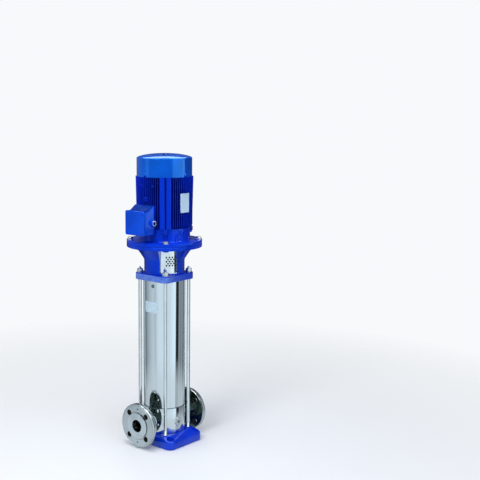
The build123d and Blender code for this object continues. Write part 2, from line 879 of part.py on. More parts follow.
with BuildPart() as end_shield_screws:
    with BuildSketch(Plane.XY.offset(frame_bottom - lug_height - lug_screw_head)):
        with PolarLocations(lug_reach, 4, start_angle=45):
            hexagon(lug_screw_flats)
    extrude(amount=lug_screw_head)
    with BuildSketch(Plane.XY.offset(frame_bottom - lug_height)):
        with PolarLocations(lug_reach, 4, start_angle=45):
            Circle(lug_screw_r)
    extrude(amount=lug_height + lug_screw_depth)
end_shield_screws.part.label = "end_shield_screws"
export_step(end_shield_screws.part, "parts/end_shield_screws.step")

# Bolts that hold the motor flange to the bracket, and their nuts underneath
with BuildPart() as motor_flange_bolts:
    with BuildSketch(Plane.XY.offset(motor_flange_top)):
        with PolarLocations(motor_bolt_circle_r, 4, start_angle=45):
            hexagon(nut_flats)
    extrude(amount=bolt_head)
    with BuildSketch(Plane.XY.offset(motor_flange_top)):
        with PolarLocations(motor_bolt_circle_r, 4, start_angle=45):
            Circle(rod_r)
    extrude(amount=-(motor_flange + bracket_flange + nut_height + bolt_tip))
motor_flange_bolts.part.label = "motor_flange_bolts"
export_step(motor_flange_bolts.part, "parts/motor_flange_bolts.step")

with BuildPart() as motor_flange_nuts:
    with BuildSketch(Plane.XY.offset(bracket_flange_bottom)):
        with PolarLocations(motor_bolt_circle_r, 4, start_angle=45):
            hexagon(nut_flats)
            Circle(rod_r + seat_gap, mode=Mode.SUBTRACT)
    extrude(amount=-nut_height)
motor_flange_nuts.part.label = "motor_flange_nuts"
export_step(motor_flange_nuts.part, "parts/motor_flange_nuts.step")

# Motor frame: four banks of upright fins between four pairs of smooth ridges, with a
# flat seat for the terminal box and another for the nameplate
with BuildPart() as motor_frame:
    with BuildSketch(Plane.XY.offset(frame_bottom)):
        Circle(frame_r)
        fin_root = frame_r - fin_bite
        for bank in range(4):
            first = 90 * bank - fin_pitch * (fin_count - 1) / 2
            with PolarLocations(
                (fin_root + fin_r) / 2, fin_count, start_angle=first, angular_range=fin_pitch * fin_count
            ):
                Rectangle(fin_r - fin_root, fin_width)
        with PolarLocations(fin_r - groove_depth - ridge_depth / 2, 4, start_angle=45):
            Rectangle(ridge_depth, ridge_spread)
        for shift in (-ridge_spread / 2, ridge_spread / 2):
            with PolarLocations(fin_r - ridge_depth / 2, 4, start_angle=45):
                with Locations((0, shift)):
                    RectangleRounded(ridge_depth, ridge_width, ridge_corner)
        Circle(frame_bore_r, mode=Mode.SUBTRACT)
    extrude(amount=frame_height)
    with BuildSketch(Plane.XZ):
        Polygon(
            (fin_r - fin_bevel, frame_bottom),
            (fin_r + fin_bevel, frame_bottom),
            (fin_r + fin_bevel, frame_bottom + 2 * fin_bevel),
            align=None,
        )
    revolve(axis=Axis.Z, mode=Mode.SUBTRACT)
    with BuildSketch(Plane.YZ.offset(-box_back)):
        with Locations((box_middle_y, (frame_bottom + box_neck_top) / 2)):
            Rectangle(box_width + 2 * seat_gap, box_neck_top - frame_bottom)
    extrude(amount=-fin_r, mode=Mode.SUBTRACT)
    with BuildSketch(Plane.YZ.offset(-box_back)):
        with Locations((box_middle_y, (frame_bottom + box_neck_top) / 2)):
            Rectangle(box_width, box_neck_top - frame_bottom)
    extrude(amount=box_back - saddle_root)
    with BuildSketch(Plane.XZ.offset(plate_reach)):
        with Locations((plate_middle_x, plate_bottom + plate_height / 2)):
            Rectangle(plate_width, plate_height)
    extrude(amount=fin_r, mode=Mode.SUBTRACT)
    with BuildSketch(Plane.XZ.offset(plate_reach)):
        with Locations((plate_middle_x, plate_bottom + plate_height / 2)):
            Rectangle(plate_width, plate_height)
    extrude(amount=saddle_root - plate_reach)
    with BuildSketch(Plane.XY.offset(frame_bottom)):
        Circle(frame_bore_r)
    extrude(amount=frame_height, mode=Mode.SUBTRACT)
    with BuildSketch(Plane.XY.offset(frame_bottom)):
        with PolarLocations(lug_reach, 4, start_angle=45):
            Circle(lug_screw_r + seat_gap)
    extrude(amount=lug_screw_depth + seat_gap, mode=Mode.SUBTRACT)
motor_frame.part.label = "motor_frame"
export_step(motor_frame.part, "parts/motor_frame.step")

# Wound core: the laminated stack, its end windings and the rotor inside it
with BuildPart() as stator_core:
    with BuildSketch(Plane.XY.offset(core_bottom)):
        Circle(frame_bore_r - seat_gap)
        Circle(core_bore_r, mode=Mode.SUBTRACT)
    extrude(amount=core_height)
stator_core.part.label = "stator_core"
export_step(stator_core.part, "parts/stator_core.step")

with BuildPart() as end_windings:
    for level in (core_bottom - winding_height, core_bottom + core_height):
        with BuildSketch(Plane.XY.offset(level)):
            Circle(core_bore_r + winding_wall + 2 * bolt_gap)
            Circle(core_bore_r + 2 * bolt_gap, mode=Mode.SUBTRACT)
        extrude(amount=winding_height)
    coils = end_windings.edges().filter_by(GeomType.CIRCLE)
    chamfer(coils.group_by(Axis.Z)[0] + coils.group_by(Axis.Z)[-1], length=winding_wall / 4)
end_windings.part.label = "end_windings"
export_step(end_windings.part, "parts/end_windings.step")

with BuildPart() as rotor_core:
    with BuildSketch(Plane.XY.offset(core_bottom)):
        Circle(core_bore_r - rotor_gap)
        Circle(motor_shaft_r + running_gap, mode=Mode.SUBTRACT)
    extrude(amount=core_height)
rotor_core.part.label = "rotor_core"
export_step(rotor_core.part, "parts/rotor_core.step")

with BuildPart() as motor_shaft:
    with BuildSketch(Plane.XY.offset(coupling_middle + coupling_split / 2)):
        Circle(motor_shaft_r)
    extrude(amount=fan_bottom + fan_height - coupling_middle - coupling_split / 2)
    chamfer(motor_shaft.edges().filter_by(GeomType.CIRCLE), length=1)
motor_shaft.part.label = "motor_shaft"
export_step(motor_shaft.part, "parts/motor_shaft.step")

with BuildPart() as motor_bearings:
    for level in (drive_bearing_bottom, rear_bearing_bottom):
        with BuildSketch(Plane.XY.offset(level)):
            Circle(bearing_r)
            Circle(motor_shaft_r + running_gap, mode=Mode.SUBTRACT)
        extrude(amount=bearing_width)
motor_bearings.part.label = "motor_bearings"
export_step(motor_bearings.part, "parts/motor_bearings.step")

# Rear end shield: a plate on the frame, its bearing housing and four ears for the cover
with BuildPart() as rear_end_shield:
    with BuildSketch(Plane.XY.offset(frame_top)):
        Circle(frame_r)
        with PolarLocations(rear_ear_r - rear_ear_depth / 2, 4):
            Rectangle(rear_ear_depth, rear_ear_width)
    extrude(amount=rear_plate)
    with BuildSketch(Plane.XY.offset(frame_top)):
        with PolarLocations(rear_ear_r - rear_ear_depth / 2, 4):
            Rectangle(rear_ear_depth, rear_ear_width)
    extrude(amount=rear_shield)
    with BuildSketch(Plane.XY.offset(rear_bearing_bottom)):
        Circle(bearing_r + bearing_housing)
    extrude(amount=frame_top + rear_shield - rear_bearing_bottom)
    with BuildSketch(Plane.XY.offset(rear_bearing_bottom)):
        Circle(bearing_r + seat_gap)
    extrude(amount=bearing_width, mode=Mode.SUBTRACT)
    with BuildSketch(Plane.XY.offset(rear_bearing_bottom)):
        Circle(motor_shaft_r + shaft_room)
    extrude(amount=2 * rear_shield + bearing_width, mode=Mode.SUBTRACT)
    for turn in range(4):
        with BuildSketch(turned_plane(90 * turn, rear_ear_r - rear_ear_depth, cover_screw_level)):
            Circle(cover_screw_shank_r + seat_gap)
        extrude(amount=rear_ear_depth, mode=Mode.SUBTRACT)
rear_end_shield.part.label = "rear_end_shield"
export_step(rear_end_shield.part, "parts/rear_end_shield.step")

# Cooling fan: a hub and disc with straight radial blades
with BuildPart() as cooling_fan:
    with BuildSketch(Plane.XY.offset(fan_bottom)):
        Circle(fan_hub_r)
    extrude(amount=fan_height)
    with BuildSketch(Plane.XY.offset(fan_bottom)):
        Circle(fan_r - 2 * fan_disc)
    extrude(amount=fan_disc)
    with BuildSketch(Plane.XY.offset(fan_bottom)):
        with PolarLocations((fan_hub_r + fan_r) / 2, fan_blades):
            Rectangle(fan_r - fan_hub_r + fan_disc, fan_disc)
    extrude(amount=fan_height)
    with BuildSketch(Plane.XY.offset(fan_bottom)):
        Circle(motor_shaft_r + running_gap)
    extrude(amount=fan_height, mode=Mode.SUBTRACT)
cooling_fan.part.label = "cooling_fan"
export_step(cooling_fan.part, "parts/cooling_fan.step")

# Fan cover: a pressed cap with a rolled shoulder, a domed crown and a slotted air inlet
with BuildPart() as fan_cover:
    with BuildSketch(Plane.XZ):
        with BuildLine():
            outside = [(cover_r * share, cover_top - drop) for share, drop in cover_crown]
            inside = [
                ((cover_r - cover_sheet) * share, cover_top - drop - cover_sheet)
                for share, drop in reversed(cover_crown)
            ]
            Polyline((cover_r, frame_top), *outside, *inside, (cover_r - cover_sheet, frame_top), close=True)
        make_face()
    revolve(axis=Axis.Z)
    with BuildSketch(Plane.XY.offset(cover_top - cover_height / 4)):
        with PolarLocations((grille_inner_r + grille_outer_r) / 2, grille_count):
            Rectangle(grille_outer_r - grille_inner_r, grille_slot)
    extrude(amount=cover_height / 2, mode=Mode.SUBTRACT)
    for turn in range(4):
        with BuildSketch(turned_plane(90 * turn, cover_r - 2 * cover_sheet, cover_screw_level)):
            Circle(cover_screw_shank_r + seat_gap)
        extrude(amount=4 * cover_sheet, mode=Mode.SUBTRACT)
fan_cover.part.label = "fan_cover"
export_step(fan_cover.part, "parts/fan_cover.step")

with BuildPart() as fan_cover_screws:
    for turn in range(4):
        with BuildSketch(turned_plane(90 * turn, cover_r, cover_screw_level)):
            Circle(cover_screw_r)
        extrude(amount=cover_screw_head)
        with BuildSketch(turned_plane(90 * turn, rear_ear_r - rear_ear_depth / 2, cover_screw_level)):
            Circle(cover_screw_shank_r)
        extrude(amount=cover_r - rear_ear_r + rear_ear_depth / 2)
fan_cover_screws.part.label = "fan_cover_screws"
export_step(fan_cover_screws.part, "parts/fan_cover_screws.step")

# Terminal box: a hollow box with a neck that slopes up to the frame
with BuildPart() as terminal_box:
    with BuildSketch(Plane.XZ.offset(box_side_near)):
        with BuildLine():
            Polyline(
                (-box_back, box_bottom),
                (-box_front, box_bottom),
                (-box_front, box_top),
                (-box_neck_start, box_top),
                (-box_neck_end, box_neck_top),
                (-box_back, box_neck_top),
                close=True,
            )
        make_face()
    extrude(amount=-box_width)
    fillet(terminal_box.faces().sort_by(Axis.X)[0].edges(), radius=box_edge)
    with BuildSketch(Plane.YZ.offset(-box_front)):
        with Locations((box_middle_y, box_middle_z)):
            RectangleRounded(box_width - 2 * box_wall, box_height - 2 * box_wall, box_corner)
            with GridLocations(lid_screw_span_y, lid_screw_span_z, 2, 2):
                Circle(lid_boss_r, mode=Mode.SUBTRACT)
    extrude(amount=box_front - box_neck_end, mode=Mode.SUBTRACT)
    with BuildSketch(Plane.YZ.offset(-box_front)):
        with Locations((box_middle_y, box_middle_z)):
            with GridLocations(lid_screw_span_y, lid_screw_span_z, 2, 2):
                Circle(lid_screw_r + seat_gap)
    extrude(amount=lid_screw_depth, mode=Mode.SUBTRACT)
    with BuildSketch(Plane.XZ.offset(box_side_near)):
        with Locations((-gland_x, gland_z)):
            Circle(gland_hole_r)
    extrude(amount=-3 * box_wall, mode=Mode.SUBTRACT)
terminal_box.part.label = "terminal_box"
export_step(terminal_box.part, "parts/terminal_box.step")

with BuildPart() as box_gasket:
    with BuildSketch(Plane.YZ.offset(-box_front)):
        with Locations((box_middle_y, box_middle_z)):
            RectangleRounded(box_width - box_wall, box_height - box_wall, box_corner)
            RectangleRounded(
                box_width - 2 * box_wall, box_height - 2 * box_wall, box_corner, mode=Mode.SUBTRACT
            )
    extrude(amount=-gasket_thickness)
box_gasket.part.label = "box_gasket"
export_step(box_gasket.part, "parts/box_gasket.step")

with BuildPart() as box_lid:
    with BuildSketch(Plane.YZ.offset(-box_front - gasket_thickness)):
        with Locations((box_middle_y, box_middle_z)):
            RectangleRounded(box_width + 2 * lid_lip, box_height + 2 * lid_lip, box_corner)
    extrude(amount=-lid_thickness)
    fillet(box_lid.faces().sort_by(Axis.X)[0].edges(), radius=box_edge)
    with BuildSketch(Plane.YZ.offset(-box_front)):
        with Locations((box_middle_y, box_middle_z)):
            with GridLocations(lid_screw_span_y, lid_screw_span_z, 2, 2):
                Circle(lid_screw_r + seat_gap)
    extrude(amount=-2 * lid_thickness, mode=Mode.SUBTRACT)
box_lid.part.label = "box_lid"
export_step(box_lid.part, "parts/box_lid.step")

with BuildPart() as box_lid_screws:
    with BuildSketch(Plane.YZ.offset(-lid_face)):
        with Locations((box_middle_y, box_middle_z)):
            with GridLocations(lid_screw_span_y, lid_screw_span_z, 2, 2):
                hexagon(lid_screw_flats)
    extrude(amount=-lid_screw_head)
    with BuildSketch(Plane.YZ.offset(-lid_face)):
        with Locations((box_middle_y, box_middle_z)):
            with GridLocations(lid_screw_span_y, lid_screw_span_z, 2, 2):
                Circle(lid_screw_r)
    extrude(amount=lid_face - box_front + lid_screw_depth)
box_lid_screws.part.label = "box_lid_screws"
export_step(box_lid_screws.part, "parts/box_lid_screws.step")

# Terminal block on the back wall of the box, with a slot for each wire
with BuildPart() as terminal_block:
    with BuildSketch(Plane.YZ.offset(-box_neck_end)):
        with Locations((box_middle_y, box_middle_z)):
            Rectangle(block_width, block_height)
            with GridLocations(block_width / 6, 0, 6, 1):
                Rectangle(block_width / 12, block_height / 2, mode=Mode.SUBTRACT)
    extrude(amount=-block_depth)
terminal_block.part.label = "terminal_block"
export_step(terminal_block.part, "parts/terminal_block.step")

# Cable gland in the near wall, with no cable in it
with BuildPart() as cable_gland:
    with BuildSketch(Plane.XZ.offset(box_side_near)):
        with Locations((-gland_x, gland_z)):
            hexagon(gland_flats)
    extrude(amount=gland_hex)
    with BuildSketch(Plane.XZ.offset(box_side_near + gland_hex)):
        with Locations((-gland_x, gland_z)):
            Circle(gland_nose_r)
    extrude(amount=gland_nose)
    with BuildSketch(Plane.XZ.offset(box_side_near)):
        with Locations((-gland_x, gland_z)):
            Circle(gland_hole_r - seat_gap)
    extrude(amount=-box_wall - gland_hex)
    with BuildSketch(Plane.XZ.offset(box_side_near - box_wall - gland_hex)):
        with Locations((-gland_x, gland_z)):
            Circle(gland_bore_r)
    extrude(amount=box_wall + 2 * gland_hex + gland_nose, mode=Mode.SUBTRACT)
cable_gland.part.label = "cable_gland"
export_step(cable_gland.part, "parts/cable_gland.step")

with BuildPart() as motor_nameplate:
    with BuildSketch(Plane.XZ.offset(plate_reach)):
        with Locations((plate_middle_x, plate_bottom + plate_height / 2)):
            RectangleRounded(plate_width, plate_height, plate_sheet)
    extrude(amount=plate_sheet)
motor_nameplate.part.label = "motor_nameplate"
export_step(motor_nameplate.part, "parts/motor_nameplate.step")


def screw_plug(angle, seat_r, shank_from_r, height):
    """A hexagon plug with a collar, whose shank points at the shaft line."""
    with BuildPart() as plug:
        with BuildSketch(turned_plane(angle, shank_from_r, height)):
            Circle(plug_shank_r)
        extrude(amount=seat_r + neighbour_gap - shank_from_r)
        with BuildSketch(turned_plane(angle, seat_r + neighbour_gap, height)):
            Circle(plug_collar_r)
        extrude(amount=plug_collar)
        with BuildSketch(turned_plane(angle, seat_r + neighbour_gap + plug_collar, height)):
            hexagon(plug_flats)
        extrude(amount=plug_head)
    return plug


vent_plug = screw_plug(vent_angle, body_r, spigot_r - head_wall - vent_boss / 2, vent_height)
vent_plug.part.label = "vent_plug"
export_step(vent_plug.part, "parts/vent_plug.step")

drain_plug = screw_plug(drain_angle, body_r + drain_boss_reach, body_bore_r + wall_bite, port_height)
drain_plug.part.label = "drain_plug"
export_step(drain_plug.part, "parts/drain_plug.step")
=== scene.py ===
import math

import bmesh
import bpy
from bpy.props import FloatProperty, FloatVectorProperty, IntProperty, PointerProperty
from mathutils import Matrix, Vector


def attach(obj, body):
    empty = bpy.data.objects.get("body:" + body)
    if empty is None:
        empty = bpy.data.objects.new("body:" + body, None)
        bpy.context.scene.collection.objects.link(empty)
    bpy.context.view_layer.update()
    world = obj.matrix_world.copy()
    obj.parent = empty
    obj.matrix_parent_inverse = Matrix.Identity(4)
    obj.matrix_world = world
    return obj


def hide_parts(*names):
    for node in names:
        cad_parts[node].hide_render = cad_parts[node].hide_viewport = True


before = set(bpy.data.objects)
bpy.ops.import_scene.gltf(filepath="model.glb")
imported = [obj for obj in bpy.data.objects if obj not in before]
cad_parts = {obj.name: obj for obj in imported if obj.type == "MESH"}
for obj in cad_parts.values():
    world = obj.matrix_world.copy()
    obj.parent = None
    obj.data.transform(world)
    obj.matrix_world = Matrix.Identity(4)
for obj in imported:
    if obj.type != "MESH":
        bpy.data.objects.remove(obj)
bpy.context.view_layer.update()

bl_info = {
    "name": "Vertical multistage pump",
    "version": (1, 0, 0),
    "blender": (4, 5, 0),
    "location": "3D View > Sidebar > Pump",
    "description": "Dresses the packed pump with its castings, steel parts, finishes and studio",
    "category": "Add Mesh",
}

MM = 0.001
PUMP = "pump"
COLOUR = {"subtype": "COLOR", "size": 3, "min": 0.0, "max": 1.0}

# Places in mm or degrees that several pieces share
PORT_LEVEL = 80
FLANGE_BOLTS = 55
VENT_TURN, VENT_LEVEL = 190, 557
DRAIN_TURN = 264
WINDOW_TURNS = (241, 61)
WINDOW_LEVEL = 641
MOTOR_BOLTS, MOTOR_LUGS = 116.5, 89
FRAME_BOTTOM, FRAME_TOP, FRAME_OUT = 754.1, 925.9, 97.8
COVER_RADIUS, COVER_TOP = 94.3, 1003


class PumpCastingSizes(bpy.types.PropertyGroup):
    """Sizes of the painted castings, in millimetres."""

    base_corner: FloatProperty(
        name="Base corner", description="Corner radius of the base, in mm", default=24.0, min=5.0, max=40.0
    )
    base_edge: FloatProperty(
        name="Base edge", description="Rounding of the base's cast edges, in mm", default=4.5, min=0.2, max=6.0
    )
    flare: FloatProperty(
        name="Lantern flare", description="Width of the cone under the lantern's flange, in mm",
        default=31.0, min=8.0, max=36.0,
    )
    window_spread: FloatProperty(
        name="Window spread", description="Angle that a lantern window takes, in degrees",
        default=62.0, min=40.0, max=80.0,
    )
    fin_root: FloatProperty(
        name="Fin root", description="Thickness of a fin where it leaves the frame, in mm",
        default=3.4, min=1.5, max=5.0,
    )
    fin_tip: FloatProperty(
        name="Fin tip", description="Thickness of a fin at its outer edge, in mm", default=2.2, min=1.0, max=4.0
    )
    fins_in_bank: IntProperty(
        name="Fins in a bank", description="Number of fins between two ridges", default=14, min=6, max=16
    )
    cover_dome: FloatProperty(
        name="Cover dome", description="Height of the fan cover's dome above its wall, in mm",
        default=16.5, min=8.0, max=20.0,
    )


class PumpSteelSizes(bpy.types.PropertyGroup):
    """Sizes of the bright steel parts, in millimetres."""

    thread_pitch: FloatProperty(
        name="Thread pitch", description="Pitch of the tie rods' threads, in mm", default=1.75, min=1.0, max=3.0
    )
    perforation: FloatProperty(
        name="Perforation", description="Radius of the guards' round holes, in mm", default=3.0, min=1.0, max=3.2
    )
    face_grooves: IntProperty(
        name="Face grooves", description="Number of fine grooves turned in a port's raised face",
        default=7, min=0, max=12,
    )


class PumpColours(bpy.types.PropertyGroup):
    """Colours of the paints and plates."""

    casting: FloatVectorProperty(
        name="Castings", description="Paint of the base, lantern and motor flange",
        default=(0.002, 0.035, 0.62), **COLOUR,
    )
    fins: FloatVectorProperty(
        name="Motor frame", description="Paint of the finned motor frame",
        default=(0.001, 0.017, 0.48), **COLOUR,
    )
    cover: FloatVectorProperty(
        name="Fan cover", description="Paint of the fan cover", default=(0.001, 0.088, 0.61), **COLOUR,
    )
    box: FloatVectorProperty(
        name="Terminal box", description="Paint of the terminal box and its lid",
        default=(0.002, 0.065, 0.68), **COLOUR,
    )
    plate: FloatVectorProperty(
        name="Bare plates", description="Colour of the bare plate on the motor",
        default=(0.64, 0.83, 0.96), **COLOUR,
    )


# Tools for shaping a piece


def deselect():
    """Leaves edit mode and lets go of everything."""
    if bpy.context.object and bpy.context.object.mode != "OBJECT":
        bpy.ops.object.mode_set(mode="OBJECT")
    bpy.ops.object.select_all(action="DESELECT")


def take(piece):
    """Makes one piece the only one selected."""
    deselect()
    piece.select_set(True)
    bpy.context.view_layer.objects.active = piece


def added(name):
    """The object that was just added, named."""
    piece = bpy.context.object
    piece.name = name
    return piece


def settle(piece):
    """Moves a piece's place, turn and scale into its mesh."""
    take(piece)
    bpy.ops.object.transform_apply(location=True, rotation=True, scale=True)
    return piece


def edit(piece, how="SELECT"):
    """Opens a piece in edit mode with all or none of it selected."""
    take(piece)
    bpy.ops.object.mode_set(mode="EDIT")
    bpy.ops.mesh.select_mode(type="VERT")
    bpy.ops.mesh.select_all(action=how)


def pick(piece, kind, test):
    """In edit mode, selects the faces, edges or corners that pass a test of their place in mm."""
    bpy.ops.mesh.select_mode(type=kind)
    mesh = bmesh.from_edit_mesh(piece.data)
    for group in (mesh.faces, mesh.edges, mesh.verts):
        for item in group:
            item.select = False
    items, passes = {
        "VERT": (mesh.verts, lambda corner: test(corner.co / MM)),
        "EDGE": (mesh.edges, lambda edge: test(edge.verts[0].co / MM, edge.verts[1].co / MM)),
        "FACE": (mesh.faces, lambda face: test(face.calc_center_median() / MM, face.normal)),
    }[kind]
    for item in items:
        if passes(item):
            item.select_set(True)
    mesh.select_flush_mode()
    bmesh.update_edit_mesh(piece.data)


def tidy(piece, merge=False):
    """Merges doubles if asked, turns the faces outwards and leaves edit mode."""
    edit(piece)
    if merge:
        bpy.ops.mesh.remove_doubles(threshold=0.002 * MM)
    bpy.ops.mesh.normals_make_consistent(inside=False)
    bpy.ops.object.mode_set(mode="OBJECT")
    return piece


def turned(name, profile, steps=128, solid=True, merge=False):
    """A turned piece on the shaft line, from pairs of radius and height in mm."""
    deselect()
    radius, level = profile[0]
    bpy.ops.mesh.primitive_circle_add(
        vertices=steps, radius=radius * MM, fill_type="NGON" if solid else "NOTHING",
        location=(0, 0, level * MM),
    )
    piece = settle(added(name))
    edit(piece)
    for (r0, z0), (r1, z1) in zip(profile, profile[1:]):
        rise = {"value": (0, 0, (z1 - z0) * MM)}
        if solid:
            bpy.ops.mesh.extrude_region_move(TRANSFORM_OT_translate=rise)
        else:
            bpy.ops.mesh.extrude_edges_move(TRANSFORM_OT_translate=rise)
        if abs(r1 - r0) > 1e-9:
            bpy.ops.transform.resize(value=(r1 / r0, r1 / r0, 1), center_override=(0, 0, z1 * MM))
    return tidy(piece, merge)


def hoop(name, profile, steps):
    """A ring on the shaft line, from the corners of its section."""
    return turned(name, profile + profile[:1], steps, False, True)


def peg(name, radius, start, end, steps=32, end_radius=None):
    """A round peg, or a cone, between two points in mm."""
    deselect()
    start, end = Vector(start), Vector(end)
    run = end - start
    bpy.ops.mesh.primitive_cone_add(
        vertices=steps, radius1=radius * MM, radius2=(radius if end_radius is None else end_radius) * MM,
        depth=run.length * MM, location=(start + end) / 2 * MM,
        rotation=run.to_track_quat("Z", "Y").to_euler(),
    )
    return settle(added(name))


def block(name, low, high):
    """A block between two corners in mm."""
    deselect()
    low, high = Vector(low), Vector(high)
    bpy.ops.mesh.primitive_cube_add(size=1, location=(low + high) / 2 * MM)
    piece = added(name)
    piece.scale = (high - low) * MM
    return settle(piece)


def plate(name, width, depth, corner, bottom, top, steps=8):
    """An upright block on the shaft line with rounded corners, in mm."""
    deselect()
    bpy.ops.mesh.primitive_plane_add(size=1, location=(0, 0, bottom * MM))
    piece = added(name)
    piece.scale = (width * MM, depth * MM, 1)
    settle(piece)
    edit(piece)
    bpy.ops.mesh.bevel(offset=corner * MM, segments=steps, affect="VERTICES")
    bpy.ops.mesh.select_all(action="SELECT")
    bpy.ops.mesh.extrude_region_move(TRANSFORM_OT_translate={"value": (0, 0, (top - bottom) * MM)})
    return tidy(piece)


def tube(name, points, radius, resolution, closed=False):
    """A round bar along points in mm, closed to a loop or capped at its ends."""
    deselect()
    bpy.ops.curve.primitive_bezier_circle_add(radius=1)
    piece = added(name)
    curve = piece.data
    curve.splines.clear()
    line = curve.splines.new("POLY")
    line.points.add(len(points) - 1)
    for point, place in zip(line.points, points):
        point.co = (*(part * MM for part in place), 1)
    line.use_cyclic_u = closed
    curve.dimensions = "3D"
    curve.bevel_depth = radius * MM
    curve.bevel_resolution = resolution
    curve.use_fill_caps = not closed
    take(piece)
    bpy.ops.object.convert(target="MESH")
    return tidy(settle(bpy.context.object))


def change(piece, kind, **values):
    """Adds one modifier with its values and applies it."""
    take(piece)
    bpy.ops.object.modifier_add(type=kind)
    step = piece.modifiers[-1]
    for key, value in values.items():
        setattr(step, key, value)
    bpy.ops.object.modifier_apply(modifier=step.name)
    return piece


def round_edges(piece, width, segments=3, angle=35):
    """Rounds every edge that turns by more than an angle."""
    return change(
        piece, "BEVEL", width=width * MM, segments=segments, limit_method="ANGLE",
        angle_limit=math.radians(angle),
    )


def ease(piece, width, segments, test):
    """Rounds the edges that pass a test of their ends' places in mm."""
    edit(piece, "DESELECT")
    pick(piece, "EDGE", test)
    bpy.ops.mesh.bevel(offset=width * MM, segments=segments, affect="EDGES")
    return tidy(piece)


def combine(piece, tool, way="UNION"):
    """Adds a tool to a piece, or cuts it away, and uses the tool up."""
    change(piece, "BOOLEAN", object=tool, operation=way, solver="EXACT")
    bpy.data.objects.remove(tool)
    return piece


def cut(piece, *tools):
    """Cuts tools away from a piece."""
    for tool in tools:
        combine(piece, tool, "DIFFERENCE")
    return piece


def join(name, pieces):
    """Joins pieces into one object."""
    deselect()
    for piece in pieces:
        piece.select_set(True)
    bpy.context.view_layer.objects.active = pieces[0]
    if len(pieces) > 1:
        bpy.ops.object.join()
    pieces[0].name = name
    return pieces[0]


def copy(piece, place):
    """A copy of a piece, with its own mesh, moved by a matrix in mm."""
    take(piece)
    bpy.ops.object.duplicate()
    twin = bpy.context.object
    moved = place.copy()
    moved.translation = moved.translation * MM
    twin.matrix_world = moved
    return settle(twin)


def repeat(name, piece, places):
    """Copies a piece to each place and joins the copies into one object."""
    twins = [copy(piece, place) for place in places]
    bpy.data.objects.remove(piece)
    return join(name, twins)


def at(x=0.0, y=0.0):
    """A place moved level."""
    return Matrix.Translation((x, y, 0))


def about(angle, radius=0.0):
    """A place turned about the shaft line and moved out along its own X."""
    return Matrix.Rotation(math.radians(angle), 4, "Z") @ at(radius)


def quarters(first=45, radius=0.0):
    """Four places a quarter turn apart."""
    return [about(first + 90 * quarter, radius) for quarter in range(4)]


def facing(origin, direction):
    """A place whose Z points along a direction."""
    turn = Vector(direction).to_track_quat("Z", "Y").to_matrix().to_4x4()
    return Matrix.Translation(origin) @ turn


def around(angle, radius, level=0):
    """The point at an angle about the shaft line, a radius and a height."""
    return radius * math.cos(math.radians(angle)), radius * math.sin(math.radians(angle)), level


def outwards(angle, radius, level):
    """A place whose Z points away from the shaft line."""
    return facing(around(angle, radius, level), around(angle, 1))


def move(piece, place):
    """Moves a piece by a matrix in mm."""
    moved = place.copy()
    moved.translation = moved.translation * MM
    piece.matrix_world = moved
    return settle(piece)


def hexagon_bar(name, flats, bottom, top, chamfer=1.2):
    """A hexagon bar on the shaft line whose ends have the turned chamfer of a nut, in mm."""
    corner = flats / math.sqrt(3)
    bar = peg(name, corner, (0, 0, bottom), (0, 0, top), steps=6)
    low = flats / 2 * 0.97
    envelope = turned(
        "chamfer_tool",
        [(low, bottom - 0.01), (low + 0.001, bottom), (corner + 0.05, bottom + chamfer),
         (corner + 0.05, top - chamfer), (low + 0.001, top), (low, top + 0.01)],
        steps=48,
    )
    combine(bar, envelope, "INTERSECT")
    return round_edges(bar, 0.25, 2, 25)


def threaded_rod(name, bottom, top, pitch):
    """The rings of a 12 mm thread on the shaft line, with a chamfered tip, in mm."""
    radius, depth = 6, pitch * 0.45
    count = int((top - bottom - 1) / pitch)
    profile = [(radius - depth, bottom)]
    for turn in range(count):
        foot = bottom + turn * pitch
        profile.append((radius, foot + pitch * 0.4))
        profile.append((radius, foot + pitch * 0.6))
        profile.append((radius - depth, foot + pitch))
    profile.append((radius - depth - 0.6, top))
    return turned(name, profile, 28)


def seat(piece, finish, body=PUMP, stands_for=(), angle=32):
    """Gives a finished piece its shading, finish and body, and hides the imported nodes it stands for."""
    take(piece)
    bpy.ops.object.shade_smooth_by_angle(angle=math.radians(angle))
    piece.data.materials.clear()
    piece.data.materials.append(finish)
    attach(piece, body)
    if stands_for:
        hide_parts(*stands_for)
    return piece


def refinish(piece, finish, test):
    """Gives the faces of a seated piece that pass a test another finish."""
    piece.data.materials.append(finish)
    edit(piece, "DESELECT")
    pick(piece, "FACE", test)
    piece.active_material_index = 1
    bpy.ops.object.material_slot_assign()
    deselect()


# Finishes


def new_finish(name):
    """A material with its tree and shader, or alone where it's made already."""
    known = bpy.data.materials.get(name)
    if known:
        return known, None, None
    finish = bpy.data.materials.new(name)
    finish.use_nodes = True
    tree = finish.node_tree
    return finish, tree, tree.nodes["Principled BSDF"]


def fill(tree, target, values):
    """Sets a node's inputs, by a link where the value is another node's output."""
    for key, value in values.items():
        if isinstance(value, bpy.types.NodeSocket):
            tree.links.new(value, target.inputs[key])
        else:
            target.inputs[key].default_value = value


def add(tree, kind, values, **settings):
    """Adds a shader node, fills its inputs and returns its outputs."""
    made = tree.nodes.new("ShaderNode" + kind)
    for key, value in settings.items():
        setattr(made, key, value)
    fill(tree, made, values)
    return made.outputs


def coordinates(tree):
    """A point's Object coordinates, whole and in parts."""
    place = add(tree, "TexCoord", {})["Object"]
    return place, add(tree, "SeparateXYZ", {"Vector": place})


def noise(tree, scale, detail=3.0, stretch=(1, 1, 1)):
    """A noise on Object coordinates, stretched along the axes."""
    place = add(tree, "TexCoord", {})["Object"]
    point = add(tree, "Mapping", {"Vector": place, "Scale": stretch})["Vector"]
    return add(tree, "TexNoise", {"Vector": point, "Scale": scale, "Detail": detail})["Fac"]


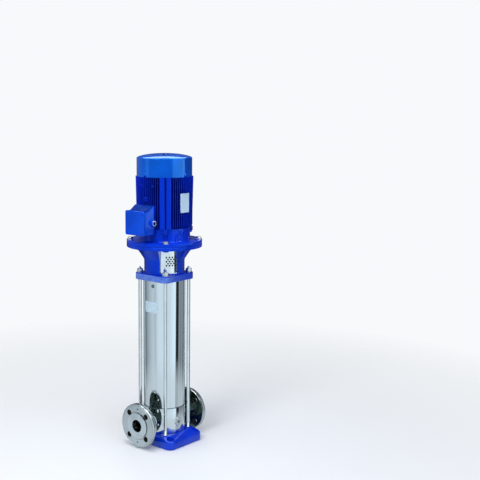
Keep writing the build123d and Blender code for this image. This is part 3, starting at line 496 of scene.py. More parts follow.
def spread(tree, value, low, high, to_low=0.0, to_high=1.0):
    """Maps a value from one range to another."""
    return add(tree, "MapRange", {
        "Value": value, "From Min": low, "From Max": high, "To Min": to_low, "To Max": to_high,
    })["Result"]


def between(tree, factor, low, high):
    """Spreads a noise between two numbers."""
    return spread(tree, factor, 0.3, 0.7, low, high)


def maths(tree, operation, *values):
    """The result of one Math node."""
    return add(tree, "Math", dict(enumerate(values)), operation=operation)["Value"]


def mixed(tree, factor, low, high):
    """A colour between two, each a colour or another node's output."""
    return add(tree, "MixRGB", {"Fac": factor, "Color1": low, "Color2": high})["Color"]


def ramp(tree, factor, stops):
    """A ramp through stops of a position and a colour."""
    made = tree.nodes.new("ShaderNodeValToRGB")
    elements = made.color_ramp.elements
    elements[0].position, elements[1].position = stops[0][0], stops[-1][0]
    for position, colour in stops[1:-1]:
        elements.new(position)
    for element, (position, colour) in zip(elements, stops):
        element.position = position
        element.color = (*colour, 1)
    fill(tree, made, {"Fac": factor})
    return made.outputs["Color"]


def shade(colour, factor):
    """A colour made darker or lighter."""
    return tuple(min(1.0, part * factor) for part in colour)


def drift(tree, factor, colour, low, high):
    """A colour that runs from a darker to a lighter shade with a noise."""
    return ramp(tree, factor, [(0.35, shade(colour, low)), (0.65, shade(colour, high))])


def relief(tree, height, distance, strength=1.0, under=None):
    """A bump of a height in mm, over another where one is given."""
    values = {"Height": height, "Distance": distance * MM, "Strength": strength}
    if under is not None:
        values["Normal"] = under
    return add(tree, "Bump", values)["Normal"]


def gloss_paint(name, colour, texture=0.12, rough=0.14, index=1.5, clear=0.08):
    """Gloss enamel with a faint orange peel and a slow drift of colour."""
    finish, tree, shader = new_finish(name)
    if tree:
        cast = relief(tree, noise(tree, 900, 2), texture * 0.25)
        fill(tree, shader, {
            "Base Color": drift(tree, noise(tree, 14, 3), colour, 0.86, 1.14),
            "Roughness": between(tree, noise(tree, 60, 4), rough * 0.75, rough * 1.4),
            "Normal": relief(tree, noise(tree, 170, 2), texture, 0.5, cast),
            "Coat Weight": clear, "Coat Roughness": 0.05, "IOR": index,
            "Specular Tint": (0.06, 0.45, 1.0, 1),
        })
    return finish


def bright_steel(name, colour, rough, grain=(1, 1, 1), depth=0.02, scale=300):
    """Bare steel whose grain runs along the axis with the smallest stretch."""
    finish, tree, shader = new_finish(name)
    if tree:
        lines = noise(tree, scale, 3, grain)
        fill(tree, shader, {
            "Base Color": drift(tree, noise(tree, 18, 2), colour, 0.93, 1.05),
            "Roughness": between(tree, lines, rough * 0.7, rough * 1.4),
            "Normal": relief(tree, lines, depth), "Metallic": 1.0,
        })
    return finish


def mirror_steel(name, colour):
    """Polished sleeve: a mirror with long, slow waves along the shaft line."""
    finish, tree, shader = new_finish(name)
    if tree:
        waves = noise(tree, 22, 2, (1, 1, 0.12))
        lines = noise(tree, 420, 3, (1, 1, 0.02))
        fill(tree, shader, {
            "Base Color": drift(tree, waves, colour, 0.95, 1.03),
            "Roughness": between(tree, lines, 0.05, 0.1),
            "Normal": relief(tree, waves, 0.5, 0.35, relief(tree, lines, 0.004)), "Metallic": 1.0,
        })
    return finish


def dull(name, colour, rough, metallic=0.0, depth=0.05, scale=220, vary=0.12):
    """A matt or satin finish with a fine tooth, for plastic, rubber, iron or copper."""
    finish, tree, shader = new_finish(name)
    if tree:
        tooth = noise(tree, scale, 4)
        fill(tree, shader, {
            "Base Color": drift(tree, noise(tree, 30, 3), colour, 1 - vary, 1 + vary),
            "Roughness": between(tree, tooth, rough * 0.85, min(1.0, rough * 1.15)),
            "Normal": relief(tree, tooth, depth), "Metallic": metallic,
        })
    return finish


def opened(finish):
    """A finish's tree, its shader and the colour linked to it."""
    tree = finish.node_tree
    shader = tree.nodes["Principled BSDF"]
    return tree, shader, shader.inputs["Base Color"].links[0].from_socket


def frame_paint(colours):
    """The motor frame's paint, with painted shade down between the fins and in the grooves of the ridges, and the
    ridges in the lighter casting colour.
    """
    finish = gloss_paint("fin_paint_and_shade", colours.fins, 0.16, 0.2, 1.35, 0.05)
    tree, shader, ground = opened(finish)
    place, parts = coordinates(tree)
    flat = add(tree, "VectorMath", {0: place, 1: (1, 1, 0)}, operation="MULTIPLY")["Vector"]
    reach = add(tree, "VectorMath", {0: flat}, operation="LENGTH")["Value"]
    # painted shade: the fins turn almost black towards the frame, down between them
    fins = mixed(tree, spread(tree, reach, 88.5 * MM, 97 * MM, 0.2), (0, 0.001, 0.02, 1), ground)
    sides = [maths(tree, "ABSOLUTE", parts[axis]) for axis in "XY"]
    apart = maths(tree, "ABSOLUTE", maths(tree, "SUBTRACT", *sides))
    # painted shade: a dark line in the groove between each ridge's two bars
    groove = spread(tree, apart, 3 * MM, 4.6 * MM)
    ridge = mixed(tree, groove, (0.001, 0.004, 0.1, 1), (*colours.casting, 1))
    on_ridge = spread(tree, apart, 28.6 * MM, 27.6 * MM)
    fill(tree, shader, {"Base Color": mixed(tree, on_ridge, fins, ridge)})
    return finish


def casting_paint():
    return gloss_paint("casting_paint", bpy.context.scene.pump_colours.casting)


def lantern_paint_and_sheen(colour):
    """The lantern's paint, with a painted sheen of paler blue on the sides of its square plate, strongest towards -X.
    """
    finish = gloss_paint("lantern_paint_and_sheen", colour)
    tree, shader, ground = opened(finish)
    parts = coordinates(tree)[1]
    below = spread(tree, parts["Z"], 594.5 * MM, 592 * MM)
    across = spread(tree, parts["X"], -68 * MM, 10 * MM, 1.0, 0.25)
    # painted sheen: below the plate's top, fading across towards +X and broken up by a noise, mixed towards a paler
    # blue
    sheen_patches = between(tree, noise(tree, 45, 3, (1, 1, 2.5)), 0.55, 1.0)
    painted_sheen = maths(tree, "MULTIPLY", maths(tree, "MULTIPLY", below, across), sheen_patches)
    fill(tree, shader, {"Base Color": mixed(tree, painted_sheen, ground, (0.16, 0.28, 0.8, 1))})
    return finish


def flange_steel():
    """Turned steel whose backs, towards the pump, carry a painted dark reflection."""
    finish, tree, shader = new_finish("flange_steel")
    if tree:
        out = maths(tree, "ABSOLUTE", coordinates(tree)[1]["X"])
        face = ramp(tree, noise(tree, 18, 2), [(0.35, (0.62, 0.64, 0.65)), (0.65, (0.72, 0.74, 0.75))])
        lines = noise(tree, 260, 3)
        fill(tree, shader, {
            # painted reflection: the backs, nearer the shaft line than 118.2 mm, turn a dark green-black
            "Base Color": mixed(tree, spread(tree, out, 118.2 * MM, 119.6 * MM), (0.09, 0.13, 0.11, 1), face),
            "Roughness": between(tree, lines, 0.13, 0.26),
            "Normal": relief(tree, lines, 0.02), "Metallic": 1.0,
        })
    return finish


def rubber():
    return dull("seal_rubber", (0.02, 0.02, 0.022), 0.6)


def rod_steel():
    return bright_steel("rod_steel", (0.87, 0.88, 0.89), 0.09, (1, 1, 0.03), 0.008, 500)


def screw_steel():
    return bright_steel("screw_steel", (0.76, 0.77, 0.78), 0.2, (1, 1, 1), 0.02, 700)


# The studio


class PUMP_OT_stage(bpy.types.Operator):
    """Make the floor, the surroundings, the screen for reflections, the lights and the camera"""

    bl_idname = "pump.stage"
    bl_label = "Studio"

    def execute(self, context):
        self.floor()
        self.surroundings(context)
        self.screen()
        self.lights()
        self.camera(context)
        return {"FINISHED"}

    def floor(self):
        """A sheet of pale paper that fades away from the pump."""
        deselect()
        bpy.ops.mesh.primitive_plane_add(size=24, location=(0, 0, 0))
        floor = added("studio_floor")
        finish, tree, shader = new_finish("floor_paper")
        fill(tree, shader, {"Base Color": (0.87, 0.885, 0.9, 1), "Roughness": 0.75})
        place = add(tree, "TexCoord", {})["Object"]
        reach = add(tree, "VectorMath", {0: place}, operation="LENGTH")["Value"]
        clear = add(tree, "BsdfTransparent", {})["BSDF"]
        fade = {"Fac": spread(tree, reach, 0.45, 1.9), 1: shader.outputs["BSDF"], 2: clear}
        fill(tree, tree.nodes["Material Output"], {"Surface": add(tree, "MixShader", fade)["Shader"]})
        floor.data.materials.append(finish)
        floor.visible_glossy = False

    def surroundings(self, context):
        """A pale studio that lights the pump evenly and softly."""
        context.scene.view_settings.view_transform = "Standard"
        world = bpy.data.worlds.new("studio")
        world.use_nodes = True
        context.scene.world = world
        tree = world.node_tree
        lit = tree.nodes["Background"]
        fill(tree, lit, {"Color": (0.92, 0.95, 1.0, 1), "Strength": 0.42})
        seen = add(tree, "Background", {"Color": (0.93, 0.95, 0.965, 1)})["Background"]
        by_camera = add(tree, "LightPath", {})["Is Camera Ray"]
        mix = add(tree, "MixShader", {"Fac": by_camera, 1: lit.outputs["Background"], 2: seen})["Shader"]
        fill(tree, tree.nodes["World Output"], {"Surface": mix})

    def screen(self):
        """A tall screen round the pump that only its reflections see, light and dark by turns."""
        screen = turned("studio_screen", [(700, -900), (700, 1500), (150, 1501)], 96, False)
        finish, tree, shader = new_finish("screen_bands")
        tree.nodes.remove(shader)
        parts = coordinates(tree)[1]
        turn = spread(tree, maths(tree, "ARCTAN2", parts["Y"], parts["X"]), -math.pi, math.pi)
        ramps = []
        for tint, bands in (
            # what the sleeve and the lantern see
            ((0.82, 1.0, 1.12), (
                (0.0, 0.7), (0.05, 0.82), (0.2, 0.78), (0.27, 0.95), (0.291, 0.95), (0.298, 0.02), (0.343, 0.02),
                (0.352, 0.33), (0.405, 0.2), (0.425, 0.4), (0.445, 0.16), (0.5, 0.2), (0.53, 0.06), (0.66, 0.03),
                (0.74, 0.03), (0.752, 0.28), (0.79, 0.18), (0.83, 0.38), (0.9, 0.54), (0.945, 0.62), (0.975, 0.56),
            )),
            # what the motor sees
            ((0.9, 1.0, 1.06), (
                (0.0, 0.3), (0.2, 0.3), (0.216, 1.5), (0.335, 1.5), (0.343, 2.2), (0.354, 2.2), (0.362, 0.06),
                (0.5, 0.05), (0.56, 0.12), (0.7, 0.12), (0.735, 0.3), (0.9, 0.3), (0.91, 0.8), (0.94, 0.8),
                (0.95, 0.3),
            )),
        ):
            stops = [(place, [level * part for part in tint]) for place, level in bands]
            ramps.append(ramp(tree, turn, stops))
        walls = mixed(tree, spread(tree, parts["Z"], 0.6, 0.64), *ramps)
        below = spread(tree, parts["Z"], 0.02, -0.14, 0.0, 0.65)
        pale = mixed(tree, below, walls, (0.6, 0.7, 0.76, 1))
        roof = mixed(tree, spread(tree, parts["Z"], 1.498, 1.5), pale, (4, 4.2, 4.4, 1))
        glow = add(tree, "Emission", {"Color": roof})["Emission"]
        fill(tree, tree.nodes["Material Output"], {"Surface": glow})
        screen.data.materials.append(finish)
        for ray in ("camera", "diffuse", "shadow", "transmission", "volume_scatter"):
            setattr(screen, "visible_" + ray, False)

    def lights(self):
        """A key from the upper left, a bluish fill from the right, one above and one behind."""
        for name, place, aim, size, power in (
            ("key_light", (-2.7, -0.5, 2.4), (0, 0, 0.55), 1.3, 44),
            ("fill_light", (-0.2, -3.0, 1.5), (0, 0, 0.6), 1.3, 15),
            ("top_light", (-0.5, -0.3, 3.2), (0, 0, 0.8), 1.2, 38),
            ("rear_light", (1.8, 1.9, 1.8), (0, 0, 0.6), 1.2, 12),
        ):
            bpy.ops.object.light_add(type="AREA", location=place)
            light = added(name)
            light.data.size = size
            light.data.energy = power
            if name == "fill_light":
                light.data.color = (0.4, 0.55, 1.0)
            light.visible_glossy = False
            light.rotation_euler = (Vector(aim) - Vector(place)).to_track_quat("-Z", "Y").to_euler()

    def camera(self, context):
        """The photograph's view: from the suction side, a little down, the pump left of the middle."""
        bpy.ops.object.camera_add(location=(-2.2858, -2.1122, 1.154))
        camera = added("studio_camera")
        camera.rotation_euler = (math.radians(90 - 8.186), 0, math.radians(-47.264))
        camera.data.sensor_width = 36
        camera.data.lens = 68.883
        camera.data.shift_x = 0.1574
        camera.data.dof.use_dof = False
        context.scene.camera = camera


# The pump


class PUMP_OT_base(bpy.types.Operator):
    """Make the base casting with its sloping faces, foot seats and ribbed underside"""

    bl_idname = "pump.base"
    bl_label = "Base casting"

    def execute(self, context):
        sizes = context.scene.pump_castings
        base = plate("base_casting", 170, 214, sizes.base_corner, 0, 28, 10)
        edit(base, "DESELECT")
        pick(base, "FACE", lambda middle, normal: normal.z > 0.9)
        bpy.ops.mesh.extrude_region_move(TRANSFORM_OT_translate={"value": (0, 0, 13 * MM)})
        bpy.ops.transform.resize(value=(148 / 170, 148 / 214, 1), center_override=(0, 0, 41 * MM))
        tidy(base)
        round_edges(base, sizes.base_edge, 4, 14)
        seats, holes, cells = [], [], []
        for x in (-65, 65):
            for y in (-87, 87):
                seats.append(peg("seat_tool", 12.5, (x, y, 27), (x, y, 60), 48))
                holes.append(peg("hole_tool", 7, (x, y, -5), (x, y, 30), 32))
                cell = move(plate("cell_tool", 72, 94, 8, -5, 16, 4), at(x * 40 / 65, y * 51 / 87))
                cells.append(cut(cell, peg("boss_tool", 13, (x, y, -6), (x, y, 20), 32)))
        cut(base, join("cell_tools", cells), join("seat_tools", seats), join("hole_tools", holes))
        finish = gloss_paint("base_paint", context.scene.pump_colours.casting, clear=0.6)
        seat(base, finish, stands_for=["base_plate"], angle=28)
        return {"FINISHED"}


class PUMP_OT_body(bpy.types.Operator):
    """Make the steel pump body with its two lipped ports, weld beads and drain boss"""

    bl_idname = "pump.body"
    bl_label = "Pump body"

    def execute(self, context):
        grooves = context.scene.pump_steel.face_grooves
        body = turned(
            "pump_body_shell",
            [(68.5, 41), (70.2, 41.3), (71.6, 42.3), (72.3, 44), (72.3, 128.6), (72.0, 129.4), (71.0, 129.9),
             (70.2, 130.1), (70.0, 144.4), (60, 144.5)],
            256,
        )
        combine(body, peg("neck_tool", 24.2, (-136.5, 0, PORT_LEVEL), (136.5, 0, PORT_LEVEL), 96))
        boss = turned("boss_tool", [(15, 0), (15, 11.2), (14.2, 12), (12, 12)], 64)
        combine(body, move(boss, outwards(DRAIN_TURN, 63.3, PORT_LEVEL)))
        for side in (-1, 1):
            profile = [(24.1, 0), (43.4, 0), (44, 0.6), (44, 3.4), (43.4, 4.0)]
            spacing = 17 / max(1, grooves)
            for groove in range(grooves):
                outer = 42 - groove * spacing
                profile += [(outer, 4.0), (outer - spacing * 0.3, 3.6), (outer - spacing * 0.6, 4.0)]
            profile += [(23, 4.0), (21.6, 3.2)]
            lip = turned("lip_tool", profile, 128)
            combine(body, move(lip, facing((side * 136, 0, PORT_LEVEL), (side, 0, 0))))
        bowl = turned("bowl_tool", [(45, 47), (45, 118)], 96)
        cut(body, bowl, hoop("channel_tool", [(48, 47), (65.5, 47), (65.5, 128), (48, 128)], 96))
        for outer, inner in ((-150, -40), (150, 50)):
            cut(body, peg("bore_tool", 21.5, (outer, 0, PORT_LEVEL), (inner, 0, PORT_LEVEL), 96))
        body = join("pump_body_shell", [body, self.bead(-1), self.bead(1)])
        section = [(70.3, 129.2), (72.9, 129.2), (73.3, 129.8), (72.9, 130.4), (70.3, 130.4)]
        seam = hoop("seam_bead", section, 256)
        finish = bright_steel("body_steel", (0.8, 0.82, 0.84), 0.1, (1, 1, 0.2), 0.01, 200)
        seat(body, finish,
             stands_for=["pump_body", "inlet_bowl", "suction_neck", "discharge_neck"], angle=30)
        seat(seam, dull("weld_steel", (0.2, 0.23, 0.22), 0.3, 1.0))
        return {"FINISHED"}

    def bead(self, side):
        """The rounded bead where a port's neck leaves the body."""
        neck, barrel, count = 24.6, 72.4, 72
        points = []
        for step in range(count):
            turn = 2 * math.pi * step / count
            across, up = neck * math.sin(turn), neck * math.cos(turn)
            points.append((side * math.sqrt(barrel * barrel - across * across), across, PORT_LEVEL + up))
        return tube("neck_bead", points, 2.6, 4, closed=True)


class PUMP_OT_flanges(bpy.types.Operator):
    """Make the two loose flanges that turn behind the ports' lips"""

    bl_idname = "pump.flanges"
    bl_label = "Loose flanges"

    def execute(self, context):
        for side, node in ((-1, "suction_flange"), (1, "discharge_flange")):
            flange = hoop(
                node + "_ring",
                [(24.7, 0.6), (25.3, 0), (72.2, 0), (74.2, 0.7), (75, 2.4), (75, 7.6), (74.2, 8.4), (74.2, 9.6),
                 (75, 10.4), (75, 15.6), (74.2, 17.3), (72.2, 18), (71.2, 18), (70.6, 16.9), (69.6, 16.9), (69, 18),
                 (48.5, 18), (47, 16.6), (45.8, 16.6), (25.3, 16.6), (24.7, 16)],
                192,
            )
            spots = [around(turn, FLANGE_BOLTS)[:2] for turn in (45, 135, 225, 315)]
            section = [(9.9, -0.5), (9.9, 0.05), (9, 0.9), (9, 17.1), (9.9, 17.95), (9.9, 18.5)]
            cut(flange, repeat("hole_tools", turned("hole_tool", section, 40), [at(x, y) for x, y in spots]))
            move(flange, facing((side * 117.7, 0, PORT_LEVEL), (side, 0, 0)))
            dimples = []
            for level in (PORT_LEVEL - 58, PORT_LEVEL + 58):
                dimples.append(peg("dimple_tool", 2.6, (side * 132, 0, level), (side * 138, 0, level), 20))
            cut(flange, join("dimple_tools", dimples))
            seat(flange, flange_steel(), node, [node], 28)
            self.paint_hole_shade(flange, spots)
        return {"FINISHED"}

    def paint_hole_shade(self, flange, spots):
        """Paints the walls of the bolt holes and dimples nearly black, as painted shade inside them."""
        reaches = [(y, z, 9.6) for y, z in spots] + [(0, -58, 2.9), (0, 58, 2.9)]

        def wall(middle, normal):
            near = any(math.hypot(middle.y - y, middle.z - PORT_LEVEL - z) < reach for y, z, reach in reaches)
            return near and (abs(normal.x) < 0.95 or abs(middle.x) < 134.5)

        # painted shade: a dark matt finish on the hole and dimple walls
        refinish(flange, dull("hole_shade_paint", (0.012, 0.014, 0.013), 0.7), wall)


class PUMP_OT_sleeve(bpy.types.Operator):
    """Make the polished outer sleeve and the bare plate stuck on it"""

    bl_idname = "pump.sleeve"
    bl_label = "Polished sleeve"

    def execute(self, context):
        sleeve = hoop(
            "polished_sleeve",
            [(70.1, 131), (70.5, 130.7), (71.3, 130.9), (72.0, 131.5), (72.3, 132.4), (72.3, 573.9), (71.9, 574.4),
             (70.5, 574.4), (70.1, 574.1)],
            256,
        )
        start, end = (around(VENT_TURN, reach, VENT_LEVEL) for reach in (60, 80))
        cut(sleeve, peg("vent_tool", 6.3, start, end, 40))
        seat(sleeve, mirror_steel("sleeve_mirror", (0.86, 0.88, 0.9)),
             stands_for=["outer_sleeve"], angle=25)
        label = curved_sheet("sleeve_plate", 72.4, 160, 203, 465, 503, 0.35)
        seat(label, dull("bare_label", (0.54, 0.71, 0.82), 0.3, 0.0, 0.01, 90, 0.03))
        return {"FINISHED"}


def curved_sheet(name, radius, first, last, bottom, top, thickness):
    """A sheet bent round the shaft line between two angles in degrees. A thin one grows outwards."""
    sheet = turned(name, [(radius, bottom), (radius, top)], 256, False)
    edit(sheet, "DESELECT")
    middle, half = (first + last) / 2, (last - first) / 2

    def outside(centre, normal):
        turn = math.degrees(math.atan2(centre.y, centre.x)) - middle
        return abs((turn + 180) % 360 - 180) > half

    pick(sheet, "FACE", outside)
    bpy.ops.mesh.delete(type="FACE")
    bpy.ops.object.mode_set(mode="OBJECT")
    return change(sheet, "SOLIDIFY", thickness=thickness * MM, offset=1.0 if thickness < 0.5 else -1.0)


def plate_finish():
    colour = tuple(bpy.context.scene.pump_colours.plate)
    return dull("bare_plate", colour, 0.35, 0.0, 0.01, 300, 0.03)


class PUMP_OT_tie_rods(bpy.types.Operator):
    """Make the four tie rods with their threads, washers and chamfered nuts"""

    bl_idname = "pump.tie_rods"
    bl_label = "Tie rods and nuts"

    def execute(self, context):
        pitch = context.scene.pump_steel.thread_pitch
        corners = [at(x, y) for x in (-59, 59) for y in (-59, 59)]
        shank = turned("shank", [(5.2, 57.5), (6, 58.5), (6, 593.5), (5.2, 594.5)], 40)
        foot = threaded_rod("foot_thread", 21.2, 57.6, pitch)
        head = threaded_rod("head_thread", 594.4, 611.8, pitch)
        tip = peg("rod_tip", 5.0, (0, 0, 611.5), (0, 0, 616), 28, 1.6)
        rods = repeat("tie_rod_set", join("tie_rod", [shank, foot, head, tip]), corners)
        seat(rods, rod_steel(), stands_for=["tie_rods"], angle=30)
        nut = cut(hexagon_bar("nut", 19, 598.5, 608.4), peg("bore_tool", 6.05, (0, 0, 590), (0, 0, 620), 28))
        section = [(6.6, 596.1), (11.6, 596.1), (12, 596.5), (12, 598), (11.6, 598.4), (6.6, 598.4)]
        washer = hoop("washer", section, 48)
        nuts = repeat("tie_rod_nut_set", join("nut_and_washer", [nut, washer]), corners)
        seat(nuts, screw_steel(), stands_for=["tie_rod_nuts"])
        return {"FINISHED"}


class PUMP_OT_lantern(bpy.types.Operator):
    """Make the lantern casting: square plate, flared barrel, two windows and round flange"""

    bl_idname = "pump.lantern"
    bl_label = "Lantern"

    def execute(self, context):
        sizes = context.scene.pump_castings
        wall, flare = 69.3, sizes.flare
        outline = [
            (70.6, 594), (70.6, 596.3), (69.6, 597.4), (wall, 599), (wall, 637), (69.7, 641), (71.2, 645),
            (wall + flare * 0.55, 668), (wall + flare * 0.9, 681), (wall + flare + 1.5, 685), (wall + flare + 5, 686),
            (127.2, 686), (128.4, 686.6), (129, 688), (129, 696.6), (128.4, 697.5), (127.4, 698), (90.1, 698),
            (90.1, 693.7), (61.5, 693.7), (61.5, 594),
        ]
        barrel = hoop("lantern_casting", outline, 192)
        near, far = 30, 110
        half = near * math.tan(math.radians(sizes.window_spread / 2))
        for turn in WINDOW_TURNS:
            tool = block("window_tool", (near, -half, 600), (far, half, 682))
            edit(tool, "DESELECT")
            pick(tool, "FACE", lambda middle, normal: normal.x > 0.9)
            bpy.ops.transform.resize(value=(1, far / near, 1), center_override=(far * MM, 0, WINDOW_LEVEL * MM))
            ease(tool, 6, 5, lambda a, b: abs(a.x - b.x) > 40)
            cut(barrel, move(tool, about(turn)))
        square = round_edges(plate("plate_tool", 149, 149, 17, 572.5, 596, 8), 2.2, 3, 40)
        head_room = turned("head_room_tool", [(72.6, 570), (72.6, 578.5), (40.3, 578.5), (40.3, 600)], 128)
        cut(square, head_room)
        combine(barrel, square)
        hole = peg("hole_tool", 7.25, (MOTOR_BOLTS, 0, 680), (MOTOR_BOLTS, 0, 710), 32)
        cut(barrel, repeat("hole_tools", hole, quarters()))
        finish = lantern_paint_and_sheen(context.scene.pump_colours.casting)
        seat(barrel, finish, stands_for=["motor_bracket"], angle=30)
        return {"FINISHED"}


class PUMP_OT_guards(bpy.types.Operator):
    """Make the two curved coupling guards with their staggered round holes"""

    bl_idname = "pump.guards"
    bl_label = "Coupling guards"

    def execute(self, context):
        radius = context.scene.pump_steel.perforation
        finish = bright_steel("guard_steel", (0.93, 0.94, 0.95), 0.12, (1, 1, 0.06), 0.01, 300)
        for side, turn in zip(("front", "rear"), WINDOW_TURNS):
            sheet = curved_sheet("guard_sheet_" + side, 61.2, turn - 37, turn + 37, 596.3, 685.7, 1.0)
            tools = []
            for row in range(5):
                count = 4 - row % 2
                for column in range(count):
                    across = (column - (count - 1) / 2) * 10.4
                    level = WINDOW_LEVEL + (row - 2) * 7
                    tools.append(peg("hole_tool", radius, (50, across, level), (70, across, level), 20))
            cut(sheet, move(join("hole_tools", tools), about(turn + 3)))
            seat(sheet, finish, stands_for=[side + "_guard"], angle=25)
        return {"FINISHED"}


class PUMP_OT_end_shield(bpy.types.Operator):
    """Make the motor's round flange with its drum, lugs and arches, its screws, bolts and nuts"""

    bl_idname = "pump.end_shield"
    bl_label = "Motor flange"

    def execute(self, context):
        shield = turned(
            "motor_flange_casting",
            [(60, 694.1), (89.9, 694.1), (89.9, 698.2), (127.6, 698.2), (128.6, 698.6), (129, 699.4), (129, 708.2),
             (128.5, 709.5), (127.2, 710), (94.5, 710), (91, 710.8), (88.8, 713), (88, 716), (88, 753.8),
             (60, 753.9)],
            192,
        )
        lug = turned("lug", [(6.6, 739.9), (7.6, 740.4), (8, 741.4), (8, 753.7)], 40)
        combine(shield, repeat("lug_tools", lug, quarters(45, MOTOR_LUGS)))
        notch = peg("notch_tool", 7.2, (MOTOR_LUGS, 0, 710.05), (MOTOR_LUGS, 0, 739.95), 32)
        cut(shield, repeat("notch_tools", notch, quarters()))
        arches = repeat("arch_tools", self.arch(), [about(turn) for turn in (259, 79)])
        shield = join("motor_flange_casting", [shield, arches])
        seat(shield, casting_paint(), stands_for=["drive_end_shield"], angle=30)

        socket = peg("socket_tool", 2.9, (0, 0, 730), (0, 0, 736.6), 6)
        head = cut(hexagon_bar("head", 10, 734, 740, 0.7), socket)
        shank = peg("shank", 3, (0, 0, 739.5), (0, 0, 770), 20)
        screw = move(join("screw", [head, shank]), at(MOTOR_LUGS))
        screws = repeat("end_shield_screw_set", screw, quarters())
        seat(screws, casting_paint(), stands_for=["end_shield_screws"])

        head = hexagon_bar("head", 19, 711.6, 718)
        washer = turned("washer", [(12.2, 710.1), (12.9, 710.5), (12.9, 711.3), (12.2, 711.7)], 48)
        shank = turned("shank", [(6, 690), (6, 711)], 28)
        tip = threaded_rod("tip", 681.6, 690, 1.75)
        bolt = move(join("bolt", [head, washer, shank, tip]), at(MOTOR_BOLTS))
        bolts = repeat("motor_bolt_set", bolt, quarters())
        seat(bolts, screw_steel(), stands_for=["motor_flange_bolts"])
        nut = cut(hexagon_bar("nut", 19, 682.4, 685.8), peg("bore_tool", 6.05, (0, 0, 670), (0, 0, 690), 28))
        nuts = repeat("motor_nut_set", move(nut, at(MOTOR_BOLTS)), quarters())
        seat(nuts, casting_paint(), stands_for=["motor_flange_nuts"])
        return {"FINISHED"}

    def arch(self):
        """Two raised arches on the drum, one inside the other, with a small round boss between them."""
        dot = turned("dot", [(3.4, 0), (3.4, 2.6), (2.8, 3.2)], 24)
        move(dot, outwards(0, 86.8, 721))
        return join("arch", [self.rib(19.5, 729), self.rib(9, 729.5), dot])

    def rib(self, half, spring):
        """One arch of round section, from its half width and the height where it starts to bend."""
        foot, drum = 711, 88.5
        outline = [(-half, foot), (-half, (foot + spring) / 2), (-half, spring)]
        for step in range(1, 12):
            turn = math.radians(180 - 15 * step)
            outline.append((half * math.cos(turn), spring + min(half, 16) * math.sin(turn)))
        outline += [(half, spring), (half, (foot + spring) / 2), (half, foot)]
        points = [(math.sqrt(drum ** 2 - across ** 2), across, level) for across, level in outline]
        return tube("rib", points, 2.6, 3)


